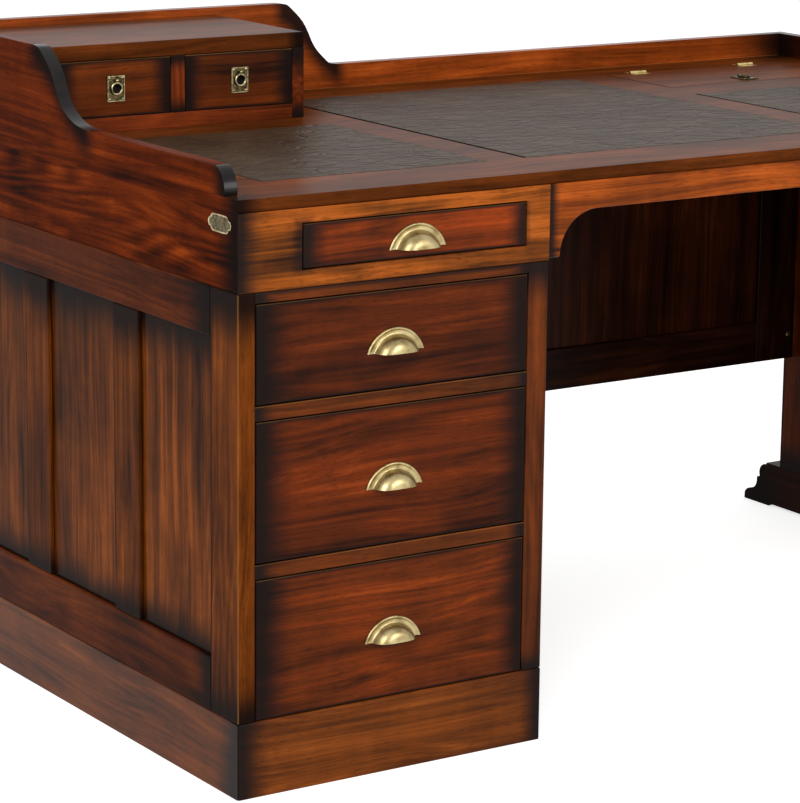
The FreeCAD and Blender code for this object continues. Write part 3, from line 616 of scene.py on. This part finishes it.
print(len(count), "boards in the pedestal")

# %% [markdown]
# ## Frieze, apron and the right end
# The frieze is the palest wood of the desk, with the strongest streaks. Its
# glaze has crept out round the ends of its drawer, most at the left, which two
# extra bursts make. The parts in the kneehole take the darkest stains, as
# painted shade, and the right end's inner face takes a darker one as painted
# shade too.

# %% Frieze, apron and the right end
near, far = corners_of("drawer_frieze_front")
tall = (2, (near.z + far.z) / 2, 0, (far.z - near.z) / 2 - 6 * MM)
halo = [([(0, near.x, 0, 0.0), tall], 13 * MM, 0.8),
        ([(0, far.x, 0, 0.0), tall], 6 * MM, 0.5)]
# The frieze's lower front arris is drawn pale: rubbed wood and a painted highlight at once.
count = boards("frieze_front", "frieze", "x", as_one=True, ease=0.3, contrast=1.9,
               glaze_and_shade={"x-": 27}, worn_and_lit=(("y-", "z-"),), extra=halo)
count += boards("frieze_sides", "gallery", "y", glaze_and_shade={"y-": 48}, contrast=1.15,
                figure=0.34, shine=0.006)
count += boards("frieze_back", "gallery", "x", glaze_and_shade={"x-": 40, "x+": 40})
count += boards("frieze_runners", "inside", "y", ease=0)
count += boards("drawer_frieze_front", "drawer", "x", worn_and_lit=TOP_ARRIS,
                glaze_and_shade={"x-": 28, "x+": 24, "z+": 4, "z-": 4}, ease=1.0)
count += boards("drawer_frieze_box", "inside", ease=0.4)
count += boards("apron", "amber", "x", glaze_and_shade={"x-": 12, "x+": 12}, ease=1.2, contrast=1.5)
count += boards("frieze_end", "gallery", "y", glaze_and_shade={"y-": 40, "y+": 40})
# The right end's frame and panels take the darker rail stain as painted shade, for their
# inner face in the kneehole.
count += boards("end_frame", "side", glaze_and_shade=side_glaze_and_shade, shine=0.03)
count += boards("end_panels", "side", "z", shine=0.03,
                glaze_and_shade={"z+": 60, "z-": 55, "y-": 12, "y+": 12}, ease=0)
# Foot, modesty frame and modesty panel take the darkest stains, as painted shade of the
# kneehole.
count += boards("sledge_foot", "kneehole_shade", "y", glaze_and_shade={"y-": 90, "y+": 90}, shine=0.02)
count += boards("modesty_frame", "shade", shine=0.05)
count += boards("modesty_panel", "kneehole_shade", "z", ease=0)
print(len(count), "boards in the frieze, apron and end")

# %% [markdown]
# ## Top, gallery and small drawer box
# Where the gallery rises in its long curve, the glaze follows the cut edge.
# The finish takes that band from an S curve through the curve's ends. Sizes
# are measured in millimetres from the plinth's corner, as a rule would.
# The top's end faces are lipped with a strip of their own, grain to the back.

# %% Top, gallery and small drawer box


def at_mm(axis, value):
    """Metres of a size measured in mm from the plinth's front left corner."""
    return corner[axis] + value * MM


TOP_Z = at_mm(2, 780)
LOW_Z, HIGH_Z = 0.817, 0.915  # heights of the gallery before and behind its curve
BAND = 0.045  # width of the glaze along the curve

count = boards("top_board", "top", "x", ease=1.0, gloss=0.28, shine=0.0105,
               glaze_and_shade={"x-y-": 40, "x+y-": 40, "x+y+": 90, "y-": (5, 0.3)})
lipping = mahogany("stained_mahogany_top_lipping", "y", "gallery", shine=0.006,
                   sides=[([(1, at_mm(1, -3), 1.0)], 40 * MM, 1.0)])
top_mesh = count[0].data
top_mesh.materials.append(lipping)
for face in top_mesh.polygons:
    at_end = abs(abs(face.center.x) - abs(corner.x)) < 5 * MM
    if abs(face.normal.x) > 0.9 and at_end:
        face.material_index = 1
count += boards("lid", "top", "x", ease=0.5, gloss=0.28, shine=0.0105)
count += boards("lid_well", "inside", ease=0)
count += boards("lid_ledges", "inside", ease=0)
left_curve = (1, at_mm(1, 386), at_mm(1, 558), LOW_Z, HIGH_Z, BAND)
back_curve = (0, at_mm(0, 561), at_mm(0, 682), HIGH_Z, LOW_Z, BAND)
count += boards("gallery_left", "gallery", "y", glaze_and_shade={"y-": 28}, ease=1.6,
                curve=left_curve, shine=0.006)
# The back gallery's lower front arris is drawn pale: rubbed wood and a painted highlight at
# once.
count += boards("gallery_back", "back", "x", glaze_and_shade={"x+": 100}, ease=1.6,
                curve=back_curve, worn_and_lit=(("y-", "z-"),))
# The right gallery is darker over 80 mm at its back end, where it meets the back gallery.
count += boards("gallery_right", "gallery", "y", glaze_and_shade={"y-": 28, "y+": 80}, ease=1.6)
count += boards("case_shell", "case", glaze_and_shade={"z+": 34, "z-": 22})
count += boards("case_top", "top", "x", glaze_and_shade={"x+y-": 30, "y-": (5, 0.35)}, ease=1.2,
                gloss=0.28, shine=0.014)
count += boards("case_floor", "case", "x")
count += boards("case_divider", "case", "z", glaze_and_shade={"z+": 18, "z-": 18})

for side in ("left", "right"):
    count += boards(f"small_{side}_front", "small", "x", worn_and_lit=TOP_ARRIS,
                    glaze_and_shade={"x-": 25, "x+": 25, "z+": 4, "z-": 4})
    count += boards(f"small_{side}_box", "inside", ease=0.4)
print(len(count), "boards in the top and gallery")

# %% [markdown]
# ## Ebonised cut edges
# The curves of the gallery were cut last and blacked, then lacquered over. A
# second material on those faces does it, so nothing has to be cut apart. The
# faces are found by their place and by where they look. The back
# gallery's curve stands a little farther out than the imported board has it,
# and drops more steeply, so its points are moved outwards first.

# %% Cut edges of the gallery
CURVE_FROM, CURVE_TO = at_mm(0, 540), at_mm(0, 690)
CURVE_OUT = 16.0  # mm that the back curve moves outwards
FOOT_BACK = 24.0  # mm of that taken off again at the curve's foot
FOOT_STEEPNESS = 14
NOSE = (at_mm(1, 30), at_mm(1, 55))  # rounded front ends, from front to back


def near_black_finish(name, rough, shine):
    """Near-black, a little browner in patches: lacquered glaze on the cut edges, painted
    shade in the gap strips and the dishes.
    """
    mat, tree, spot = fresh(name)
    thin = add(tree, "TexNoise", spot, Scale=1 / (12.5 * MM), Detail=2.0)
    tone = add(tree, "ValToRGB", thin, stops=((0.4, "#0b0808"), (0.75, "#1d120f")))
    coat = add(tree, "BsdfPrincipled", Base_Color=tone, Roughness=rough,
               Specular_IOR_Level=shine)
    add(tree, "OutputMaterial", coat)
    return mat


edge_glaze = near_black_finish("ebonised_cut_edge", 0.24, 0.22)


def glaze_cut(name, across, along, spans):
    """Give the cut faces of a gallery board, within spans, the edge glaze.

    across is the axis of the board's thickness, along that of its length.
    """
    mesh = pieces[name].data
    mesh.materials.append(edge_glaze)
    for face in mesh.polygons:
        here = face.center[along]
        edgeways = abs(face.normal[across]) < 0.3
        if edgeways and any(a <= here <= b for a, b in spans):
            face.material_index = 1


for vert in pieces["gallery_back_board_0"].data.vertices:
    if CURVE_FROM < vert.co.x < CURVE_TO and vert.co.z > LOW_Z - 1 * MM:
        up = min(max((vert.co.z - LOW_Z) / (HIGH_Z - LOW_Z), 0.0), 1.0)
        vert.co.x += (CURVE_OUT - FOOT_BACK * (1 - up) ** FOOT_STEEPNESS) * MM
glaze_cut("gallery_left_board_0", 0, 1, (NOSE, (at_mm(1, 392), at_mm(1, 552))))
glaze_cut("gallery_right_board_0", 0, 1, (NOSE,))
glaze_cut("gallery_back_board_0", 1, 0, ((at_mm(0, 566), at_mm(0, 676)),))
print("cut edges blacked")

# %% [markdown]
# ## Leather
# The inlays are hide that was glued down. Long
# and short wrinkles cross in a loose net, with a finer net between them. Plain
# noise gives clouds and no lines, so the cell edges of warped Voronoi patterns
# make them, longer along the desk than across it. They show as bump and as a
# slightly darker line, and the satin skin mirrors what stands behind it. Along
# two edges of each inlay, and of the flap beside them, a thin near-black strip
# is painted shadow in the gap there.

# %% Antiqued hide


def antiqued_hide(name):
    """Dark grey-brown crinkled leather, satin."""
    mat, tree, spot = fresh(name)
    warp = add(tree, "TexNoise", spot, Scale=17.0, Detail=3.0, out=1)
    warp = add(tree, "VectorMath", warp, Scale=50 * MM, operation="SCALE")
    bent = add(tree, "VectorMath", spot, warp)

    def creases(turn, along, across, width):
        """Lines between cells of so many millimetres, 0 on the line; turn in degrees."""
        laid = add(tree, "Mapping", bent, Rotation=(0, 0, math.radians(turn)),
                   Scale=(1 / (along * MM), 1 / (across * MM), 1.0))
        gap = add(tree, "TexVoronoi", laid, Scale=1.0, feature="DISTANCE_TO_EDGE",
                  out="Distance")
        return add(tree, "MapRange", gap, 0.0, width, 0.0, 1.0,
                   interpolation_type="SMOOTHSTEP")

    def darkened(lines, most):
        """The given amount on a line, 0 away from it."""
        return add(tree, "Math", lines, -most, most, operation="MULTIPLY_ADD")

    long_ones = creases(9, 74, 31, 0.10)
    short_ones = creases(-16, 36, 19, 0.15)
    net = creases(0, 5, 4, 0.3)
    cloud = add(tree, "TexNoise", spot, Scale=9.0, Detail=4.0)
    tone = add(tree, "ValToRGB", cloud, stops=((0.3, "#3a2a1d"), (0.7, "#503d2c")))
    dark = darker_of(tree, darkened(long_ones, 0.36), darkened(short_ones, 0.18))
    tone = add(tree, "Mix", dark, _6=tone, _7=colour("#1b130e"), data_type="RGBA", out=2)
    height = add(tree, "Math", short_ones, 0.5, long_ones, operation="MULTIPLY_ADD")
    height = add(tree, "Math", net, 0.12, height, operation="MULTIPLY_ADD")
    bump = add(tree, "Bump", Strength=0.75, Distance=1.2 * MM, Height=height)
    skin = add(tree, "BsdfPrincipled", Base_Color=tone, Roughness=0.34, Normal=bump,
               Specular_IOR_Level=0.026)
    add(tree, "OutputMaterial", skin)
    return mat


def dressed(node, mat):
    """Give a CAD node that keeps its own mesh a finish."""
    nodes[node].data.materials.clear()
    nodes[node].data.materials.append(mat)


hide = antiqued_hide("antiqued_hide")
for side in ("left", "centre", "right"):
    dressed(f"leather_{side}", hide)
# Near-black strips along two edges of each inlay and of the flap: painted shadow in the gap
# at those edges.
gap_shadow_mat = near_black_finish("painted_gap_shadow", 0.9, 0.0)
GAP_DEPTH, GAP_PROUD = 0.1 * MM, 0.06 * MM
FRONT_GAP = 1.6  # in mm, like the widths in SIDE_GAPS
SIDE_GAPS = {"leather_left": 2.0, "leather_centre": 6.0, "leather_right": 5.0, "lid": 2.6}


def gap_shadow_strip(name, node, side, width):
    """Near-black strip of painted shadow, so many mm wide, along one edge of an inlay or the
    flap, outside it.
    """
    low, high = corners_of(node)
    axis, place, inward = plane_of(low, high, side)
    low.z, high.z = TOP_Z - GAP_DEPTH, TOP_Z + GAP_PROUD
    low[axis], high[axis] = sorted((place, place - inward * width * MM))
    bm = bmesh.new()
    cube = bmesh.ops.create_cube(bm, size=1.0)["verts"]
    bmesh.ops.scale(bm, verts=cube, vec=high - low)
    bmesh.ops.translate(bm, verts=cube, vec=(low + high) / 2)
    finish_piece(name, bm, gap_shadow_mat, body_of_node["top_board"])


for node, wide in SIDE_GAPS.items():
    gap_shadow_strip(node + "_gap_shadow_side", node, "x-", wide)
    gap_shadow_strip(node + "_gap_shadow_front", node, "y-", FRONT_GAP)
print("three inlays in", hide.name)

# %% [markdown]
# ## Antique brass
# Cast brass is polished and then darkened, and the high places are rubbed
# bright again. One even colour would look like gold paint, so a pale straw
# metal has brown patina in broad soft patches, at a satin roughness. The
# plates under the drop rings keep more of the patina than the pulls do.

# %% Antique brass
UNEVEN = 0.12  # spread of the roughness


def antique_brass(name, pale, dull, rough, size=60.0):
    """Straw-coloured metal with soft patches of patina, so many in a metre."""
    mat, tree, spot = fresh(name)
    patches = add(tree, "TexNoise", spot, Scale=size, Detail=3.0)
    tone = add(tree, "ValToRGB", patches, stops=((0.36, dull), (0.6, pale)))
    # Real brushing is finer than the 1.1 mm that it is drawn with here, to show.
    brushed = add(tree, "TexNoise", spot, Scale=900.0, Detail=2.0)
    uneven = add(tree, "Math", brushed, UNEVEN, rough - UNEVEN / 2, operation="MULTIPLY_ADD")
    metal = add(tree, "BsdfPrincipled", Base_Color=tone, Metallic=1.0, Roughness=uneven)
    add(tree, "OutputMaterial", metal)
    return mat


pull_brass = antique_brass("antique_brass_pulls", "#b3a276", "#8a7850", 0.33)
dark_brass = antique_brass("patinated_brass_plates", "#6d6040", "#332a1a", 0.38, 240.0)
pale_brass = antique_brass("rubbed_brass_rings", "#c6ba92", "#8f8055", 0.32, 240.0)
hinge_brass = antique_brass("polished_brass_hinges", "#dcc78a", "#b39a5a", 0.28)
METALS = {"small_left_ring": pale_brass, "small_right_ring": pale_brass,
          "small_left_plate": dark_brass, "small_right_plate": dark_brass,
          "lid_pull_plate": dark_brass, "lid_ring": dark_brass, "bolt_heads": dark_brass,
          "hinge_fixed": hinge_brass, "hinge_moving": hinge_brass}
for node, brass in METALS.items():
    dressed(node, brass)
print("four brasses on", len(METALS), "nodes")

# %% [markdown]
# ## Cup pulls
# A cup pull is a quarter-round hood on a flat flange with a bead round it. Half
# a sphere would lack the flange and the bead, so one wall profile is spun half
# a turn about a centre that lies below the pull, and the shell is cut off
# level at its lower edge. A fine step keeps the highlights on the hood round.

# %% Cup pulls
# Closed section of the wall, as (radius, distance out) in mm, over the hood,
# across the flange, over the bead and back along the inside.
PULL_WALL = [(8, 20), (15, 20), (18, 19.8), (22, 19.2), (26, 17.6), (29.2, 15.2), (31.8, 12),
             (33.6, 8.4), (34.7, 5), (35.4, 3), (36.3, 1.9), (38, 1.5), (40.2, 1.5),
             (41.6, 1.8), (42.3, 2.5), (43.2, 3.0), (44.2, 3.0), (45.0, 2.5), (45.5, 1.6),
             (45.57, 0.8), (45.57, 0), (33.4, 0), (33.0, 4), (31.9, 7.8), (30.1, 11),
             (27.8, 13.7), (25, 15.9), (21.6, 17.4), (18, 18), (15, 18.2), (8, 18.2)]


def spun_pull(node):
    """Finely turned copy of a cup pull, in the place of its CAD node."""
    low, high = corners_of(node)
    half = (high.x - low.x) / 2
    rise = high.z - low.z
    # Depth of the circle's centre below the level lower edge.
    drop = (half * half + rise * rise) / (2 * rise) - rise
    bm = bmesh.new()
    ring = [bm.verts.new((r * MM, -out * MM, 0.0)) for r, out in PULL_WALL]
    wall = [bm.edges.new(pair) for pair in zip(ring, ring[1:] + ring[:1])]
    bmesh.ops.spin(bm, geom=ring + wall, cent=(0, 0, 0), axis=(0, 1, 0), angle=-math.pi,
                   steps=96)
    bmesh.ops.remove_doubles(bm, verts=bm.verts, dist=0.001 * MM)
    everything = bm.verts[:] + bm.edges[:] + bm.faces[:]
    bmesh.ops.bisect_plane(bm, geom=everything, plane_co=(0, 0, drop), plane_no=(0, 0, 1),
                           clear_inner=True)
    rim = [e for e in bm.edges if e.is_boundary]
    bmesh.ops.triangle_fill(bm, edges=rim, use_beauty=True)
    bmesh.ops.recalc_face_normals(bm, faces=bm.faces)
    middle = Vector(((low.x + high.x) / 2, high.y, low.z - drop))
    bmesh.ops.translate(bm, verts=bm.verts, vec=middle)
    return finish_piece(node + "_turned", bm, pull_brass, body_of_node[node],
                        (node,), smooth=50.0)


pulls = [spun_pull(f"drawer_{name}_pull") for name in ("lower", "middle", "upper", "frieze")]
print("a pull has", len(pulls[0].data.polygons), "faces")

# %% [markdown]
# ## Trim of the drop-ring plates
# Each plate has a raised border and four dome-headed pins in its corners. They
# are drawn flat, with z out of the plate, and stood in place by a turn, so one
# function serves the upright plates and the one that lies on the flap. The
# border is two rings of points with faces between them, raised a little.

# %% Borders and domes of the ring plates
UPRIGHT = math.pi / 2  # turn of a flat drawing that stands it up, facing the front
PLATE_THICK = 1.6 * MM
HALF_WIDE, HALF_TALL = 14.0 * MM, 18.5 * MM
RIM_OUTER, RIM_INNER = 0.5 * MM, 1.5 * MM  # in from the plate's edge
RIM_THICK = 0.35 * MM
PIN_X, PIN_Y, PIN_RADIUS, PIN_FLATNESS = 10.4, 15.0, 1.9, 0.62


def raised(bm, faces, height):
    """Extrude faces and lift them along z."""
    grown = bmesh.ops.extrude_face_region(bm, geom=faces)["geom"]
    bmesh.ops.translate(bm, verts=[v for v in grown if isinstance(v, bmesh.types.BMVert)],
                        vec=(0, 0, height))


def stood(name, bm, node, front, tilt, mat):
    """Stand a flat drawing on a plate's middle, with its face at front."""
    low, high = corners_of(node)
    middle = (low + high) / 2
    if tilt:
        middle.y = front
    else:
        middle.z = front
    bmesh.ops.rotate(bm, verts=bm.verts, cent=(0, 0, 0), matrix=Matrix.Rotation(tilt, 3, "X"))
    bmesh.ops.translate(bm, verts=bm.verts, vec=middle)
    finish_piece(name, bm, mat, body_of_node[node])


def plate_trim(name, node, front, tilt, mat):
    """Raised border and four domes on one plate."""
    bm = bmesh.new()

    def ring(inset):
        signs = ((-1, -1), (1, -1), (1, 1), (-1, 1))
        return [bm.verts.new((x * (HALF_WIDE - inset), y * (HALF_TALL - inset), 0))
                for x, y in signs]

    outer, inner = ring(RIM_OUTER), ring(RIM_INNER)
    flat = [bm.faces.new((outer[i], outer[(i + 1) % 4], inner[(i + 1) % 4], inner[i]))
            for i in range(4)]
    raised(bm, flat, RIM_THICK)
    for x in (-PIN_X, PIN_X):
        for y in (-PIN_Y, PIN_Y):
            dome = bmesh.ops.create_uvsphere(bm, u_segments=20, v_segments=10,
                                             radius=PIN_RADIUS * MM)["verts"]
            bmesh.ops.scale(bm, verts=dome, vec=(1, 1, PIN_FLATNESS))
            bmesh.ops.translate(bm, verts=dome, vec=(x * MM, y * MM, 0))
    bmesh.ops.recalc_face_normals(bm, faces=bm.faces)
    stood(name, bm, node, front, tilt, mat)


drawer_face = {side: corners_of(f"small_{side}_front")[0].y for side in ("left", "right")}
for side, face in drawer_face.items():
    plate_trim(f"small_{side}_trim", f"small_{side}_plate", face - PLATE_THICK, UPRIGHT,
               pale_brass)
plate_trim("lid_pull_trim", "lid_pull_plate", TOP_Z + PLATE_THICK, 0.0, dark_brass)
print("three plates trimmed")

# %% [markdown]
# ## Dishes
# The hollows behind the rings of the two small drawers are drawn near-black,
# as painted shade in the hollow. The bare brass of the hollow would mirror the
# surround, so a thin matt bowl, turned from one profile, lines each of them.

# %% Dishes behind the rings
# Closed section of the bowl, as (radius, depth) in mm, down the outside and
# up the inside.
DISH_WALL = [(0, 4.5), (7.0, 4.4), (8.7, 3.4), (9.3, 2.0), (9.3, 0.3), (9.0, 0.3), (9.0, 2.0),
             (8.4, 3.2), (6.9, 4.1), (0, 4.2)]
DISH_RISE = 0.2 * MM  # the hollow's middle above the plate's middle
dish_shade_mat = near_black_finish("painted_dish_shade", 0.6, 0.1)


def painted_shade_dish(name, node, front):
    """Near-black matt bowl, painted shade, that lines the hollow behind a drop ring."""
    bm = bmesh.new()
    ring = [bm.verts.new((r * MM, 0, -deep * MM)) for r, deep in DISH_WALL]
    wall = [bm.edges.new(pair) for pair in zip(ring, ring[1:])]
    bmesh.ops.spin(bm, geom=ring + wall, cent=(0, 0, 0), axis=(0, 0, 1), angle=2 * math.pi,
                   steps=40, use_merge=True)
    bmesh.ops.remove_doubles(bm, verts=bm.verts, dist=0.001 * MM)
    bmesh.ops.recalc_face_normals(bm, faces=bm.faces)
    bmesh.ops.translate(bm, verts=bm.verts, vec=(0, DISH_RISE, 0))
    stood(name, bm, node, front, UPRIGHT, dish_shade_mat)


for side, face in drawer_face.items():
    painted_shade_dish(f"small_{side}_dish", f"small_{side}_plate", face)
print("two dishes lined")

# %% [markdown]
# ## Plate on the frieze
# A small cast plate with scalloped ends is pinned to the left side of the
# frieze, near the front. It is left bare: a raised rim and a plain field. A
# quarter of its outline is mirrored twice, extruded and inset. The board
# behind it is set back by the plate's thickness, so that the plate's face is
# level with the plinth and the gallery.

# %% Scalloped plate on the frieze's side
# A quarter of the outline in mm, from the end's tip to the upper edge.
SCALLOP = [(28.5, 0), (26.5, 5), (22, 6.2), (21.5, 8), (18, 11), (8, 11.5)]
CAST_THICK = 0.7
PLATE_MIDDLE = (at_mm(0, CAST_THICK), at_mm(1, 45), at_mm(2, 745))


def frieze_plate():
    """Thin plate, longer than high, with a raised rim, on the left side."""
    outline = SCALLOP + [(-x, y) for x, y in reversed(SCALLOP)]
    outline += [(-x, -y) for x, y in SCALLOP[1:]]
    outline += [(x, -y) for x, y in reversed(SCALLOP[1:])]
    bm = bmesh.new()
    ring = [bm.verts.new((x * MM, y * MM, 0)) for x, y in outline]
    raised(bm, [bm.faces.new(ring)], CAST_THICK * MM)

    def field():
        return max((f for f in bm.faces if len(f.verts) > 6),
                   key=lambda f: f.calc_center_median().z)

    bmesh.ops.inset_region(bm, faces=[field()], thickness=1.4 * MM, depth=0)
    sunk = field()
    bmesh.ops.inset_region(bm, faces=[sunk], thickness=0.5 * MM, depth=-0.4 * MM)
    bmesh.ops.recalc_face_normals(bm, faces=bm.faces)
    sunk.material_index = 1
    to_the_left = Matrix(((0, 0, -1), (-1, 0, 0), (0, 1, 0)))
    bmesh.ops.transform(bm, matrix=to_the_left.to_4x4(), verts=bm.verts)
    bmesh.ops.translate(bm, verts=bm.verts, vec=PLATE_MIDDLE)
    plate = finish_piece("frieze_plate", bm, pale_brass, body_of_node["frieze_sides"],
                         smooth=25.0)
    plate.data.materials.append(dark_brass)
    return plate


for vert in pieces["frieze_sides_board_0"].data.vertices:
    if vert.co.x < at_mm(0, 0.1):
        vert.co.x += CAST_THICK * MM
print("plate faces", len(frieze_plate().data.polygons))

# %% [markdown]
# ## Studio
# The desk stands on a pale floor in soft light: one broad lamp high on the
# viewer's left, a weaker one on the right, and a white surround that the
# lacquer and the brass can mirror. A sky would tint them both. Floor and
# surround are brighter to the eye and in mirrors than they are as light, so
# the desk keeps its own colours in front of white.

# %% Floor, world and lamps
WHITE = (1.0, 1.0, 1.0, 1.0)
FLOOR_HALF = 14.0
FLOOR_GLOW = 0.7
LIGHT_LEVEL = 0.5  # strength of the surround as light; where it is seen it is 1
FLOOR_DROP = 0.6 * MM  # keeps the floor's face off the undersides that stand on it


def seen(tree):
    """1 for what is seen, mirrored or looked through, 0 for what only lights."""
    rays = add(tree, "LightPath").node.outputs
    mirrored = darker_of(tree, rays["Is Camera Ray"], rays["Is Glossy Ray"])
    return darker_of(tree, mirrored, rays["Is Transmission Ray"])


def pale_floor():
    """Matt floor that glows a little where it is seen, so that it ends up white."""
    mat, tree, _ = fresh("pale_floor")
    glow = add(tree, "Math", seen(tree), FLOOR_GLOW, operation="MULTIPLY")
    matt = add(tree, "BsdfDiffuse", Color=colour("#e9e9e8"))
    lit = add(tree, "Emission", Color=WHITE, Strength=glow)
    add(tree, "OutputMaterial", add(tree, "AddShader", matt, lit))
    bm = bmesh.new()
    bmesh.ops.create_grid(bm, x_segments=1, y_segments=1, size=FLOOR_HALF)
    bmesh.ops.translate(bm, verts=bm.verts, vec=(0, 0, -FLOOR_DROP))
    floor = made_object("floor", bm, mat)


def surround():
    """White world: full where it is seen, dimmer where it only lights."""
    world = bpy.data.worlds.new("white_surround")
    scene.world = world
    world.use_nodes = True
    tree = world.node_tree
    tree.nodes.clear()
    strength = add(tree, "Math", seen(tree), 1.0 - LIGHT_LEVEL, LIGHT_LEVEL,
                   operation="MULTIPLY_ADD")
    add(tree, "OutputWorld", add(tree, "Background", Color=WHITE, Strength=strength))


def softbox(name, place, look, size, power):
    """Square area lamp at a place, turned to look at a point; metres and watts."""
    lamp = bpy.data.lights.new(name, "AREA")
    lamp.shape = "SQUARE"
    lamp.size = size
    lamp.energy = power
    box = bpy.data.objects.new(name, lamp)
    scene.collection.objects.link(box)
    box.location = place
    box.rotation_euler = (Vector(look) - Vector(place)).to_track_quat("-Z", "Y").to_euler()


pale_floor()
surround()
softbox("key_left", (-3.6, -3.4, 3.4), (-0.4, 0.0, 0.5), size=2.4, power=150.0)
softbox("fill_front", (1.4, -5.2, 2.2), (-0.2, 0.0, 0.5), size=2.2, power=90.0)
scene.view_settings.view_transform = "Standard"
print("studio ready")
